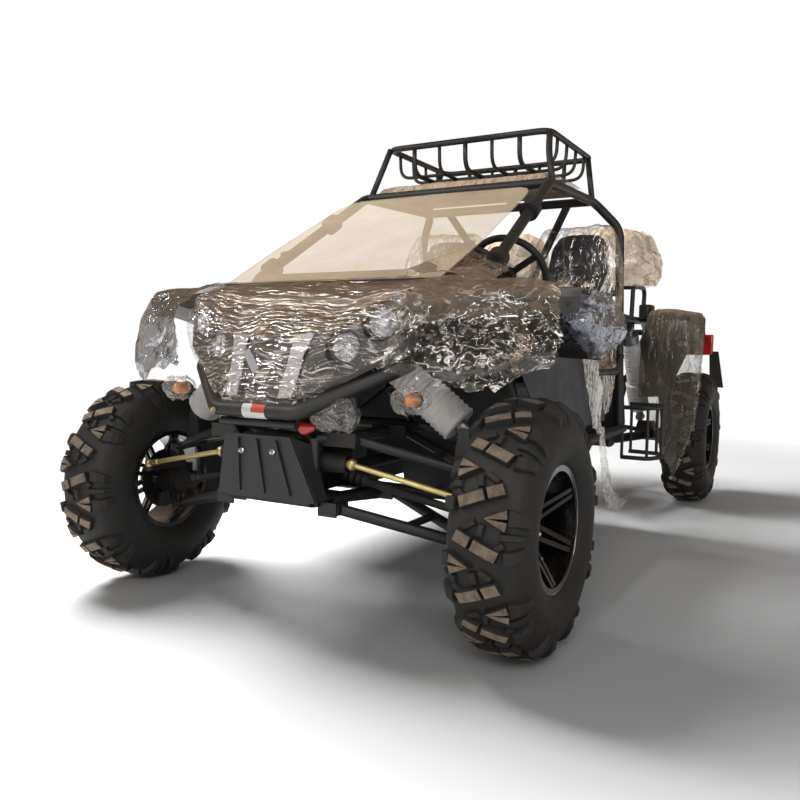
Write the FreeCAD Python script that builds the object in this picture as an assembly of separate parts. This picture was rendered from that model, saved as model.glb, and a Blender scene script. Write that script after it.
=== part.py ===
import FreeCAD, Part
import math
import os

Vector = FreeCAD.Vector

# Off-road two-seat buggy, full size, millimetres.
# X is the vehicle's left, stations (Y) run rearward from the front axle, Z is up from the ground.
# The finished solids are shifted at export so that the middle of the whole box is at the origin.

# Driving dimensions: wheels
TYRE_DIAMETER = 762
TYRE_WIDTH = 255
TYRE_WALL = 16
TREAD_HALF_WIDTH = 98
TREAD_PITCHES = 9
LUG_HEIGHT = 19
LUG_ROOT = 6
BAR_WIDTH = 33
BAR_SLANT = 25
SHOULDER_DROP = 14
RIM_SEAT_DIAMETER = 356
RIM_FLANGE = 12
RIM_WIDTH = 190
RIM_WALL = 8
SPOKE_PAIRS = 6
SPOKE_WIDTH = 15
SPOKE_GAP = 20
WHEEL_HUB_RADIUS = 62
WHEELBASE = 2750
TRACK = 1540

# Driving dimensions: the whole vehicle
TAIL_OVERHANG = 440
RACK_TOP = 1840
CAGE_TUBE = 42
FRAME_TUBE = 38
LIGHT_TUBE = 25
PANEL = 5
SHEET = 3
FIT = 0.3

# Front corner
KINGPIN_X = 648
STEERING_ARM = 140
BALL_RADIUS = 22
LOWER_BALL_Z = 288
UPPER_BALL_Z = 505
BALL_HEIGHT = 28
LOWER_PIVOT = Vector(223, -189, 401)
UPPER_PIVOT = Vector(273, -161, 616)
LOWER_PIVOT_SPAN = 340
UPPER_PIVOT_SPAN = 300
PIVOT_LENGTH = 56
LOWER_ARM_TUBE = 36
UPPER_ARM_TUBE = 30
BEARING_RADIUS = 52
BEARING_LENGTH = 52
DISC_RADIUS = 112
DISC_THICKNESS = 5
DISC_OFFSET = 12
HUB_RADIUS = 55
RACK_STATION = -173
RACK_Z = 540
RACK_ROD = 24
RACK_HOUSING = 54
RACK_INNER_X = 263
TIE_ROD = 18
STEER_ARM_TOP = 450
STEER_ARM_THICKNESS = 16

# Shock absorbers
SHOCK_SLEEVE = 118
SHOCK_ROD = 40
FRONT_SHOCK_TOP = Vector(240, -15, 904)
FRONT_SHOCK_FOOT = Vector(560, 28, 640)
REAR_SHOCK_TOP = Vector(498, WHEELBASE - 480, 1012)
REAR_SHOCK_FOOT = Vector(512, WHEELBASE - 194, 497)

# Body
SILL_X = 600
SILL_Z = 498
FLOOR_HALF = 255
FLOOR_Z = 330
TUNNEL_HALF = 80
TUNNEL_HEIGHT = 170
CABIN_FRONT = 430
CABIN_REAR = 1815
REAR_BAY_FRONT = WHEELBASE - 935
ROOF_FRONT = 1025
ROOF_REAR = 1690
ROOF_Z = 1590
RAIL_X = 450
HOOP_X = 575
WINDSHIELD_BASE = Vector(374, 46, 1113)
WINDSHIELD_RAKE = 27.2
SEAT_X = 366
SEAT_WIDTH = 400
WHEEL_X = 370
STEERING_WHEEL_RADIUS = 172
STEERING_WHEEL_TILT = 30

REAR_END = WHEELBASE + TAIL_OVERHANG
HALF_TRACK = TRACK / 2
AXLE_Z = TYRE_DIAMETER / 2
TYRE_RADIUS = TYRE_DIAMETER / 2
CAGE_R = CAGE_TUBE / 2
FRAME_R = FRAME_TUBE / 2


def aft(x, back, z):
    """A point placed by its distance behind the rear axle."""
    return Vector(x, WHEELBASE + back, z)


def rod(start, end, diameter):
    """A straight round bar between two points."""
    axis = end - start
    return Part.makeCylinder(diameter / 2, axis.Length, start, axis)


def bent_bar(points, diameter, bend):
    """A round bar through the points: straight runs joined by tangent arcs."""
    edges = []
    last = points[0]
    for index in range(1, len(points) - 1):
        corner = points[index]
        back = (points[index - 1] - corner).normalize()
        ahead = (points[index + 1] - corner).normalize()
        half_turn = (math.pi - back.getAngle(ahead)) / 2
        shorter = min((points[index - 1] - corner).Length, (points[index + 1] - corner).Length)
        reach = min(bend * math.tan(half_turn), 0.45 * shorter)
        radius = reach / math.tan(half_turn)
        middle_direction = (back + ahead).normalize()
        middle = corner + middle_direction * (radius / math.cos(half_turn) - radius)
        first = corner + back * reach
        second = corner + ahead * reach
        edges.append(Part.LineSegment(last, first).toShape())
        edges.append(Part.Arc(first, middle, second).toShape())
        last = second
    edges.append(Part.LineSegment(last, points[-1]).toShape())
    path = Part.Wire(edges)
    ring = Part.Wire(Part.Circle(points[0], points[1] - points[0], diameter / 2).toShape())
    return path.makePipeShell([ring], True, False)


def slab(points, thickness):
    """A flat plate: a closed outline moved along the thickness vector."""
    outline = Part.makePolygon(points + [points[0]])
    return Part.Face(outline).extrude(thickness)


def skin(sections, thickness):
    """A panel through several sections, each a row of points, moved along the thickness vector."""
    rings = []
    for row in sections:
        under = [point + thickness for point in reversed(row)]
        ring = row + under
        rings.append(Part.makePolygon(ring + [ring[0]]))
    return Part.makeLoft(rings, True, True)


def eased(points, steps):
    """A spline through the points, with the given number of steps from each point to the next."""
    result = [points[0]]
    last = len(points) - 1
    for index in range(last):
        start = points[index]
        end = points[index + 1]
        leaving = (end - points[max(index - 1, 0)]) * 0.5
        arriving = (points[min(index + 2, last)] - start) * 0.5
        for step in range(1, steps + 1):
            t = step / steps
            blend = 3 * t ** 2 - 2 * t ** 3
            point = start * (1 - blend) + end * blend
            point = point + leaving * (t ** 3 - 2 * t ** 2 + t) + arriving * (t ** 3 - t ** 2)
            result.append(point)
    return result


def three_sided(corner_a, corner_b, corner_c):
    return Part.Face(Part.makePolygon([corner_a, corner_b, corner_c, corner_a]))


def panel(rows, thickness, steps):
    """A doubly curved sheet through rows of points, of even thickness along its own normals."""
    half_done = [eased(row, steps) for row in rows]
    columns = [eased([row[index] for row in half_done], steps) for index in range(len(half_done[0]))]
    front = [[column[index] for column in columns] for index in range(len(columns[0]))]
    last_row = len(front) - 1
    last_column = len(front[0]) - 1
    back = []
    for i in range(last_row + 1):
        line = []
        for j in range(last_column + 1):
            down = front[min(i + 1, last_row)][j] - front[max(i - 1, 0)][j]
            over = front[i][min(j + 1, last_column)] - front[i][max(j - 1, 0)]
            line.append(front[i][j] + down.cross(over).normalize() * thickness)
        back.append(line)
    faces = []
    for i in range(last_row):
        for j in range(last_column):
            for side in (front, back):
                faces.append(three_sided(side[i][j], side[i + 1][j], side[i + 1][j + 1]))
                faces.append(three_sided(side[i][j], side[i + 1][j + 1], side[i][j + 1]))
    rim = [(i, 0) for i in range(last_row)] + [(last_row, j) for j in range(last_column)]
    rim += [(i, last_column) for i in range(last_row, 0, -1)] + [(0, j) for j in range(last_column, 0, -1)]
    for (i, j), (k, m) in zip(rim, rim[1:] + rim[:1]):
        faces.append(three_sided(front[i][j], front[k][m], back[k][m]))
        faces.append(three_sided(front[i][j], back[k][m], back[i][j]))
    solid = Part.makeSolid(Part.makeShell(faces))
    if solid.Volume < 0:
        solid.reverse()
    return solid


def seated(shape, *neighbours):
    """The main piece of a shape after its neighbours are cut away, so that it ends on their faces."""
    for neighbour in neighbours:
        shape = shape.cut(neighbour)
    return max(shape.Solids, key=lambda solid: solid.Volume)


def turned(profile, centre, axis):
    """A body of revolution. Profile points are (distance along the axis, radius)."""
    points = [Vector(0, radius, along) for along, radius in profile]
    face = Part.Face(Part.makePolygon(points + [points[0]]))
    body = face.revolve(Vector(0, 0, 0), Vector(0, 0, 1), 360)
    body.Placement = FreeCAD.Placement(centre, FreeCAD.Rotation(Vector(0, 0, 1), axis))
    return body


def joined(shapes):
    """One solid from pieces that meet."""
    return shapes[0].multiFuse(shapes[1:])


def mirrored(shape):
    return shape.mirror(Vector(0, 0, 0), Vector(1, 0, 0))


def pair(shape):
    """The left piece and its mirror image, as two solids."""
    return Part.makeCompound([shape, mirrored(shape)])


def across(point):
    return Vector(-point.x, point.y, point.z)


# Wheels

def carcass():
    """Hollow carcass with a rounded shoulder, its crown below the lugs, axis along X."""
    half = TYRE_WIDTH / 2
    bead = RIM_WIDTH / 2 - RIM_WALL - FIT
    seat = RIM_SEAT_DIAMETER / 2 + FIT
    flange = RIM_SEAT_DIAMETER / 2 + RIM_FLANGE + FIT
    crown = TYRE_RADIUS - LUG_HEIGHT
    waist = (TYRE_RADIUS + flange) / 2
    shoulder = crown - SHOULDER_DROP
    outside = [
        (bead, seat),
        (bead, flange),
        (half - TYRE_WALL / 2, flange + TYRE_WALL),
        (half, waist),
        (half - TYRE_WALL, shoulder - SHOULDER_DROP),
        (TREAD_HALF_WIDTH, shoulder),
        (TREAD_HALF_WIDTH * 0.6, crown),
    ]
    inside = [
        (bead - TYRE_WALL, seat),
        (bead - TYRE_WALL, flange + TYRE_WALL),
        (half - TYRE_WALL, waist),
        (TREAD_HALF_WIDTH - TYRE_WALL, shoulder - TYRE_WALL),
        (TREAD_HALF_WIDTH * 0.6, crown - TYRE_WALL),
    ]
    ring = outside + [(-along, radius) for along, radius in reversed(outside)]
    hollow = [(-along, radius) for along, radius in inside] + list(reversed(inside))
    return turned(ring + hollow, Vector(0, 0, 0), Vector(1, 0, 0))


def tread_half_pitch():
    """A slanted bar across the crown, a notched vee block and a shoulder lug, standing up from the crown."""
    root = TYRE_RADIUS - LUG_HEIGHT - LUG_ROOT
    rise = Vector(0, 0, TYRE_RADIUS - root)
    slant = math.radians(BAR_SLANT)
    along = Vector(math.cos(slant), -math.sin(slant), 0)
    wide = Vector(math.sin(slant), math.cos(slant), 0) * (BAR_WIDTH / 2)
    reach = along * (TREAD_HALF_WIDTH * 0.6)
    up = Vector(0, 0, root)
    bar = slab([up - reach - wide, up + reach - wide, up + reach + wide, up - reach + wide], rise * 1.1)
    tip = TREAD_HALF_WIDTH * 0.15
    wing = TREAD_HALF_WIDTH * 0.72
    arm = BAR_WIDTH * 0.95
    notch = tip + BAR_WIDTH * 0.7
    vee = slab([
        Vector(tip, 0, root),
        Vector(wing, -arm, root),
        Vector(wing, -arm * 0.15, root),
        Vector(notch, 0, root),
        Vector(wing, arm * 0.15, root),
        Vector(wing, arm, root),
    ], rise - Vector(0, 0, SHOULDER_DROP / 4))
    edge = TYRE_WIDTH / 2
    drop = TYRE_RADIUS - SHOULDER_DROP
    lug = slab([
        Vector(wing + FIT, 0, drop - 2 * LUG_HEIGHT),
        Vector(wing + FIT, 0, TYRE_RADIUS - SHOULDER_DROP / 2),
        Vector(TREAD_HALF_WIDTH + SHOULDER_DROP, 0, drop),
        Vector(edge, 0, drop - 2 * LUG_HEIGHT),
    ], Vector(0, BAR_WIDTH * 1.3, 0)).translated(Vector(0, -BAR_WIDTH * 0.65, 0))
    half_turn = 180 / TREAD_PITCHES
    vee.rotate(Vector(0, 0, 0), Vector(1, 0, 0), -half_turn / 2)
    lug.rotate(Vector(0, 0, 0), Vector(1, 0, 0), half_turn / 2)
    return [bar, vee, lug]


def tyre():
    """Carcass with its block tread: each half pitch is the mirror image of the one before."""
    blocks = []
    for index in range(2 * TREAD_PITCHES):
        for block in tread_half_pitch():
            if index % 2:
                block = mirrored(block)
            block.rotate(Vector(0, 0, 0), Vector(1, 0, 0), (index + 0.25) * 180 / TREAD_PITCHES)
            blocks.append(block)
    envelope = Part.makeCylinder(TYRE_RADIUS, TYRE_WIDTH, Vector(-TYRE_WIDTH / 2, 0, 0), Vector(1, 0, 0))
    return joined([carcass()] + blocks).common(envelope)


def rim():
    """Deep rim with paired sloping spokes; the street side faces +X."""
    half = RIM_WIDTH / 2
    seat = RIM_SEAT_DIAMETER / 2
    lip = seat + RIM_FLANGE
    barrel = turned([
        (-half, seat - RIM_WALL),
        (-half, lip),
        (-half + RIM_WALL, lip),
        (-half + RIM_WALL, seat),
        (half - RIM_WALL, seat),
        (half - RIM_WALL, lip),
        (half, lip),
        (half, seat - RIM_WALL),
    ], Vector(0, 0, 0), Vector(1, 0, 0))
    hub_back = HUB_FACE - HALF_TRACK
    hub_front = hub_back + 2 * RIM_WALL
    disc = Part.makeCylinder(WHEEL_HUB_RADIUS, hub_front - hub_back, Vector(hub_back, 0, 0), Vector(1, 0, 0))
    cap = Part.makeCylinder(WHEEL_HUB_RADIUS / 2, RIM_FLANGE, Vector(hub_front, 0, 0), Vector(1, 0, 0))
    pieces = [barrel, disc, cap]
    root = WHEEL_HUB_RADIUS - SPOKE_WIDTH
    end = seat - RIM_WALL / 2
    spoke_outline = [
        Vector(hub_back, 0, root),
        Vector(hub_front, 0, root),
        Vector(half - RIM_WALL / 2, 0, end),
        Vector(half - 3 * RIM_WALL, 0, end),
    ]
    for index in range(SPOKE_PAIRS):
        for side in (-1, 1):
            spoke = slab(spoke_outline, Vector(0, SPOKE_WIDTH, 0))
            spoke.translate(Vector(0, side * SPOKE_GAP - SPOKE_WIDTH / 2, 0))
            spoke.rotate(Vector(0, 0, 0), Vector(1, 0, 0), index * 360 / SPOKE_PAIRS + side * 3)
            pieces.append(spoke)
    return joined(pieces)


HUB_BACK = KINGPIN_X + BEARING_LENGTH
HUB_FACE = HUB_BACK + FIT + 66


def hub_and_disc():
    """Wheel hub with its brake disc, from the bearing to the wheel's seat, axis along X."""
    back = HUB_BACK + FIT - HALF_TRACK
    face = HUB_FACE - HALF_TRACK
    disc_back = back + DISC_OFFSET
    return turned([
        (back, 0),
        (back, HUB_RADIUS),
        (disc_back, HUB_RADIUS),
        (disc_back, DISC_RADIUS),
        (disc_back + DISC_THICKNESS, DISC_RADIUS),
        (disc_back + DISC_THICKNESS, HUB_RADIUS),
        (face, HUB_RADIUS),
        (face, 0),
    ], Vector(0, 0, 0), Vector(1, 0, 0))


def placed_wheel_piece(piece, side, station):
    """Puts a wheel piece at its corner; the right side is the mirror image."""
    shape = piece if side > 0 else mirrored(piece)
    return shape.translated(Vector(side * HALF_TRACK, station, AXLE_Z))


# Front corner

def caliper():
    """Brake caliper behind the axle, slotted for the disc, on a bracket to the upright."""
    back = HUB_BACK - 4
    disc_middle = HUB_BACK + FIT + DISC_OFFSET + DISC_THICKNESS / 2
    inner = DISC_RADIUS - 34
    outer = DISC_RADIUS + 18
    body = Part.makeBox(36, outer - inner, 90, Vector(back, inner, AXLE_Z - 45))
    slot = Part.makeCylinder(DISC_RADIUS + 6, DISC_THICKNESS + 11,
                             Vector(disc_middle - DISC_THICKNESS / 2 - 5.5, 0, AXLE_Z), Vector(1, 0, 0))
    bracket = Part.makeBox(HUB_BACK - KINGPIN_X, outer - BEARING_RADIUS, 30,
                           Vector(KINGPIN_X, BEARING_RADIUS - 12, AXLE_Z - 15))
    return joined([body.cut(slot), bracket])


def knuckle():
    """Steered upright: bearing housing, ball ears, steering arm, shaft cup and caliper."""
    bearing = Part.makeCylinder(BEARING_RADIUS, BEARING_LENGTH, Vector(KINGPIN_X, 0, AXLE_Z), Vector(1, 0, 0))
    cup = Part.makeCylinder(BEARING_RADIUS - 8, 26, Vector(KINGPIN_X - 26, 0, AXLE_Z), Vector(1, 0, 0))
    low = LOWER_BALL_Z + BALL_HEIGHT / 2 + FIT
    high = UPPER_BALL_Z - BALL_HEIGHT / 2 - FIT
    web_half = 14
    lower_ear = Part.makeCylinder(BALL_RADIUS, 24, Vector(KINGPIN_X, 0, low))
    upper_ear = Part.makeCylinder(BALL_RADIUS, 24, Vector(KINGPIN_X, 0, high - 24))
    web = slab([
        Vector(KINGPIN_X - web_half, -BALL_RADIUS, low),
        Vector(KINGPIN_X - web_half, BALL_RADIUS, low),
        Vector(KINGPIN_X - web_half, BEARING_RADIUS - 6, AXLE_Z),
        Vector(KINGPIN_X - web_half, BALL_RADIUS, high),
        Vector(KINGPIN_X - web_half, -BALL_RADIUS, high),
        Vector(KINGPIN_X - web_half, -BEARING_RADIUS + 6, AXLE_Z),
    ], Vector(2 * web_half, 0, 0))
    arm = slab([
        Vector(KINGPIN_X - 16, 0, STEER_ARM_TOP),
        Vector(KINGPIN_X - 13, -STEERING_ARM, STEER_ARM_TOP),
        Vector(KINGPIN_X + 13, -STEERING_ARM, STEER_ARM_TOP),
        Vector(KINGPIN_X + 20, 0, STEER_ARM_TOP),
    ], Vector(0, 0, -STEER_ARM_THICKNESS))
    eye = Part.makeCylinder(15, STEER_ARM_THICKNESS,
                            Vector(KINGPIN_X, -STEERING_ARM, STEER_ARM_TOP - STEER_ARM_THICKNESS))
    return joined([bearing, cup, lower_ear, upper_ear, web, arm, eye, caliper()])


def control_arm(pivot, span, ball_z, tube, brace_share):
    """Triangular tube arm: two pivot sleeves, two legs to the ball housing, one cross brace."""
    rear_pivot = pivot + Vector(0, span, 0)
    ball = Vector(KINGPIN_X, 0, ball_z)
    front_leg = rod(pivot, ball, tube)
    rear_leg = rod(rear_pivot, ball, tube)
    sleeve_radius = tube / 2 + 4
    half = PIVOT_LENGTH / 2
    front_sleeve = rod(pivot - Vector(0, half, 0), pivot + Vector(0, half, 0), 2 * sleeve_radius)
    rear_sleeve = rod(rear_pivot - Vector(0, half, 0), rear_pivot + Vector(0, half, 0), 2 * sleeve_radius)
    brace_front = pivot + (ball - pivot) * brace_share
    brace_rear = rear_pivot + (ball - rear_pivot) * brace_share
    brace = rod(brace_front, brace_rear, tube * 0.7)
    housing_bottom = Vector(KINGPIN_X, 0, ball_z - BALL_HEIGHT / 2)
    housing = Part.makeCylinder(BALL_RADIUS, BALL_HEIGHT, housing_bottom)
    above = Part.makeCylinder(4 * BALL_RADIUS, 3 * BALL_HEIGHT, housing_bottom + Vector(0, 0, BALL_HEIGHT))
    below_foot = housing_bottom - Vector(0, 0, 3 * BALL_HEIGHT)
    below = Part.makeCylinder(4 * BALL_RADIUS, 3 * BALL_HEIGHT, below_foot)
    arm = joined([front_leg, rear_leg, front_sleeve, rear_sleeve, brace, housing])
    return arm.cut(above).cut(below)


def lower_arms():
    return pair(control_arm(LOWER_PIVOT, LOWER_PIVOT_SPAN, LOWER_BALL_Z, LOWER_ARM_TUBE, 0.45))


def upper_arms():
    """Upper arms, each with the bracket that carries the foot of its shock absorber."""
    arm = control_arm(UPPER_PIVOT, UPPER_PIVOT_SPAN, UPPER_BALL_Z, UPPER_ARM_TUBE, 0.5)
    rise = (FRONT_SHOCK_FOOT.x - UPPER_PIVOT.x) / (KINGPIN_X - UPPER_PIVOT.x)
    seat_z = UPPER_PIVOT.z + (UPPER_BALL_Z - UPPER_PIVOT.z) * rise
    bracket = slab([
        Vector(FRONT_SHOCK_FOOT.x - 34, -34, seat_z + 4),
        Vector(FRONT_SHOCK_FOOT.x + 34, -34, seat_z - 12),
        Vector(FRONT_SHOCK_FOOT.x + 16, -34, FRONT_SHOCK_FOOT.z + 16),
        Vector(FRONT_SHOCK_FOOT.x - 16, -34, FRONT_SHOCK_FOOT.z + 16),
    ], Vector(0, 8, 0))
    plates = []
    for station in (FRONT_SHOCK_FOOT.y - SHOCK_EYE - FIT - 8, FRONT_SHOCK_FOOT.y + SHOCK_EYE + FIT):
        plates.append(bracket.translated(Vector(0, station + 34, 0)))
    deck = Part.makeBox(68, 120, 8, Vector(FRONT_SHOCK_FOOT.x - 34, -40, seat_z - 4))
    return pair(joined([arm, deck] + plates))


def shock(top, foot):
    """Damper rod and eyes at both ends; the sleeve round it is a piece of its own."""
    axis = (top - foot).normalize()
    eye_half = SHOCK_EYE
    pieces = [rod(foot, top, SHOCK_ROD)]
    for end in (top, foot):
        pieces.append(rod(end - Vector(0, eye_half, 0), end + Vector(0, eye_half, 0), SHOCK_ROD + 4))
    length = (top - foot).Length
    pieces.append(rod(foot + axis * (length - 90), foot + axis * (length - 42), SHOCK_SLEEVE * 0.8))
    return joined(pieces)


def shock_sleeve(top, foot):
    """Soft packing sleeve wrapped round the spring, with a bore for the damper."""
    axis = (top - foot).normalize()
    length = (top - foot).Length
    low = foot + axis * 62
    high = foot + axis * (length - 92)
    return rod(low, high, SHOCK_SLEEVE).cut(rod(foot, top, SHOCK_ROD + 2 * FIT))


# Steering

def rack_housing():
    """Rack tube with a bellows at each end, bored for the sliding rack."""
    bore = RACK_ROD / 2 + 0.05
    half = 110
    outside = RACK_HOUSING / 2
    folds = []
    for step in range(5):
        along = half + 14 * step
        folds.append((along, outside - 2 * step))
        folds.append((along + 7, outside - 8 - 2 * step))
    right = [(along, radius) for along, radius in folds] + [(half + 70, outside - 10)]
    left = [(-along, radius) for along, radius in reversed(right)]
    profile = [(-half - 70, bore)] + left + right + [(half + 70, bore)]
    tube = turned(profile, Vector(0, RACK_STATION, RACK_Z), Vector(1, 0, 0))
    feet = []
    for side in (-1, 1):
        feet.append(Part.makeBox(30, 40, 30, Vector(side * 80 - 15, RACK_STATION - 46, RACK_Z - 34)))
    hole = rod(Vector(-half * 2, RACK_STATION, RACK_Z), Vector(half * 2, RACK_STATION, RACK_Z), 2 * bore)
    return joined([tube] + feet).cut(hole)


def steering_rack():
    """Sliding rack bar with both tie rods, each ending over the arm of its knuckle."""
    inner = Vector(RACK_INNER_X, RACK_STATION, RACK_Z)
    end_z = STEER_ARM_TOP + FIT + 11
    outer = Vector(KINGPIN_X, -STEERING_ARM, end_z)
    way = outer - inner
    length = way.Length
    tie = turned([
        (-19, 0), (-16, 10), (-9, 17), (0, 19), (9, 17), (16, TIE_ROD / 2),
        (length * 0.86, TIE_ROD / 2), (length * 0.87, TIE_ROD / 2 + 2),
        (length, TIE_ROD / 2 + 2), (length, 0),
    ], inner, way.normalize())
    eye = Part.makeCylinder(15, 22, outer - Vector(0, 0, 11))
    bar = rod(across(inner), inner, RACK_ROD)
    end = tie.fuse(eye)
    return joined([bar, end, mirrored(end)])


def wheel_axis():
    tilt = math.radians(STEERING_WHEEL_TILT)
    return Vector(0, math.cos(tilt), math.sin(tilt))


STEERING_CENTRE = Vector(WHEEL_X, 790, 1190)
COLUMN_TOP = 46


def steering_wheel():
    """Rim, three spokes and a boss, turned about the sloping column."""
    axis = wheel_axis()
    ring = Part.makeTorus(STEERING_WHEEL_RADIUS - 14, 14, Vector(0, 0, 0), Vector(0, 0, 1))
    boss = Part.makeCylinder(34, COLUMN_TOP, Vector(0, 0, -COLUMN_TOP + 12))
    spokes = []
    for angle in (90, 210, 330):
        spoke = Part.makeBox(STEERING_WHEEL_RADIUS - 14, 26, 8, Vector(0, -13, -4))
        spoke.rotate(Vector(0, 0, 0), Vector(0, 0, 1), angle)
        spokes.append(spoke)
    wheel = joined([ring, boss] + spokes)
    wheel.Placement = FreeCAD.Placement(STEERING_CENTRE, FreeCAD.Rotation(Vector(0, 0, 1), axis))
    return wheel


def steering_column():
    """Column tube from the wheel's boss to the bulkhead, then the sloping lower shaft."""
    axis = wheel_axis()
    top = STEERING_CENTRE - axis * (COLUMN_TOP - 12 + FIT)
    knee = STEERING_CENTRE - axis * 415
    foot = Vector(96, RACK_STATION + 46, RACK_Z + 44)
    column = joined([
        rod(top, knee, 46),
        Part.makeSphere(26, knee),
        rod(knee, foot, 20),
        Part.makeCylinder(22, 40, foot - Vector(0, 0, 30)),
    ])
    return seated(column, rack_housing())


# Chassis and cage

def both_sides(points, diameter, bend):
    left = bent_bar(points, diameter, bend) if len(points) > 2 else rod(points[0], points[1], diameter)
    return [left, mirrored(left)]


def cross_bar(point, diameter):
    return rod(across(point), point, diameter)


SHOCK_EYE = 26
TRAIL_PIVOT = Vector(430, WHEELBASE - 690, 400)
TRAIL_SLEEVE = 46
STAY_TUBE = 22
REAR_STAY_FRONT = WHEELBASE - 300
REAR_STAY_REAR = WHEELBASE + 100
RACK_BAR = Vector(157, -226, 520)
GEARBOX_BAR = Vector(249, WHEELBASE - 150, 338)
FRONT_LOW = Vector(165, -240, 425)
FRONT_HIGH = Vector(150, -212, 616)
UPPER_RAIL_END = Vector(215, 335, 616)
TOWER_TOP = Vector(178, -15, 925)
REAR_DECK_Z = 1060
LOWER_RAIL_KNEE = Vector(FLOOR_HALF, 520, FLOOR_Z)
REAR_RAIL_KNEE = Vector(240, WHEELBASE + 190, 350)
REAR_CORNER = Vector(420, WHEELBASE + 310, 1000)


def chassis_frame():
    """Welded tube frame: floor rails, sills, front bay, shock towers and rear bay."""
    arm_rail = LOWER_PIVOT.x - LOWER_ARM_TUBE / 2 - 5 - FRAME_R
    rail = [
        FRONT_LOW,
        Vector(arm_rail, LOWER_PIVOT.y + LOWER_PIVOT_SPAN + 60, LOWER_PIVOT.z),
        LOWER_RAIL_KNEE,
        aft(FLOOR_HALF, -370, FLOOR_Z),
        REAR_RAIL_KNEE,
        aft(300, 330, 700),
        REAR_CORNER,
        aft(500, -150, REAR_DECK_Z),
        aft(500, -450, REAR_DECK_Z),
        Vector(HOOP_X - 12, CABIN_REAR - 8, REAR_DECK_Z),
    ]
    pieces = both_sides(rail, FRAME_TUBE, 90)
    pieces += both_sides([FRONT_LOW, FRONT_HIGH], FRAME_TUBE, 0)
    upper = [FRONT_HIGH, Vector(UPPER_PIVOT.x - 48, UPPER_PIVOT.y + 60, UPPER_PIVOT.z), UPPER_RAIL_END,
             Vector(SILL_X - 18, CABIN_FRONT + 54, SILL_Z + 4)]
    pieces += both_sides(upper, FRAME_TUBE, 60)
    sill = [LOWER_RAIL_KNEE, Vector(SILL_X, CABIN_FRONT + 30, SILL_Z), Vector(SILL_X, REAR_BAY_FRONT, SILL_Z),
            aft(FLOOR_HALF, -550, FLOOR_Z)]
    pieces += both_sides(sill, FRAME_TUBE, 60)
    pieces += both_sides([Vector(200, -90, UPPER_PIVOT.z), TOWER_TOP], FRAME_TUBE, 0)
    pieces += both_sides([UPPER_RAIL_END, TOWER_TOP], FRAME_TUBE, 0)
    pieces += both_sides([TOWER_TOP, PILLAR_FOOT + Vector(7, 12, -50)], FRAME_TUBE, 0)
    pieces += both_sides([Vector(FLOOR_HALF, 1150, FLOOR_Z), Vector(SILL_X, 1150, SILL_Z)], FRAME_TUBE, 0)
    pieces += both_sides([aft(FLOOR_HALF, -550, FLOOR_Z), aft(530, -690, REAR_DECK_Z)], FRAME_TUBE, 0)
    deck_end = aft(500, -150, REAR_DECK_Z)
    rear_share = (REAR_STAY_REAR - deck_end.y) / (REAR_CORNER.y - deck_end.y)
    for root in (Vector(500, REAR_STAY_FRONT, REAR_DECK_Z), deck_end + (REAR_CORNER - deck_end) * rear_share):
        pieces += both_sides([root, Vector(650, root.y, REAR_DECK_Z)], STAY_TUBE, 0)
    for point in (FRONT_LOW, FRONT_HIGH, TOWER_TOP, UPPER_RAIL_END, LOWER_RAIL_KNEE,
                  Vector(arm_rail, LOWER_PIVOT.y + LOWER_PIVOT_SPAN + 60, LOWER_PIVOT.z),
                  Vector(FLOOR_HALF, 1150, FLOOR_Z), aft(FLOOR_HALF, -550, FLOOR_Z),
                  aft(500, -450, REAR_DECK_Z), aft(500, -150, REAR_DECK_Z), REAR_CORNER,
                  aft(300, 330, 700), REAR_RAIL_KNEE, RACK_BAR, GEARBOX_BAR):
        pieces.append(cross_bar(point, FRAME_TUBE))
    frame = joined(pieces)
    ears = []
    for pivot, span, inward in ((LOWER_PIVOT, LOWER_PIVOT_SPAN, 52), (UPPER_PIVOT, UPPER_PIVOT_SPAN, 110)):
        for station in (pivot.y, pivot.y + span):
            for offset in (-PIVOT_LENGTH / 2 - FIT - 6, PIVOT_LENGTH / 2 + FIT):
                corner = Vector(pivot.x - inward, station + offset, pivot.z - 22)
                ear = Part.makeBox(inward + 16, 6, 44, corner)
                ears += [ear, mirrored(ear)]
    for top, span in ((FRONT_SHOCK_TOP, TOWER_TOP.x), (REAR_SHOCK_TOP, REAR_SHOCK_TOP.x)):
        for offset in (-SHOCK_EYE - FIT - 6, SHOCK_EYE + FIT):
            low_x = min(span, top.x - 22)
            ear = Part.makeBox(top.x + 22 - low_x, 6, 46, Vector(low_x, top.y + offset, top.z - 6))
            ears += [ear, mirrored(ear)]
    back_half = SHOCK_EYE + FIT + 6
    back_corner = Vector(TOWER_TOP.x, FRONT_SHOCK_TOP.y - back_half, FRONT_SHOCK_TOP.z - 6)
    back = Part.makeBox(6, 2 * back_half, 46, back_corner)
    ears += [back, mirrored(back)]
    for side in (-1, 1):
        for offset in (-TRAIL_SLEEVE - FIT - 6, TRAIL_SLEEVE + FIT):
            corner = Vector(side * TRAIL_PIVOT.x + offset, TRAIL_PIVOT.y - 82, TRAIL_PIVOT.z - 25)
            ear = Part.makeBox(6, 110, 50, corner)
            ears.append(ear)
    return joined([frame] + ears)


PILLAR_FOOT = Vector(505, 250, 1130)


def pillar_point(share):
    """A point on the windscreen pillar, from its foot (0) to the roof corner (1)."""
    return PILLAR_FOOT + (Vector(RAIL_X, ROOF_FRONT, ROOF_Z) - PILLAR_FOOT) * share


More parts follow.
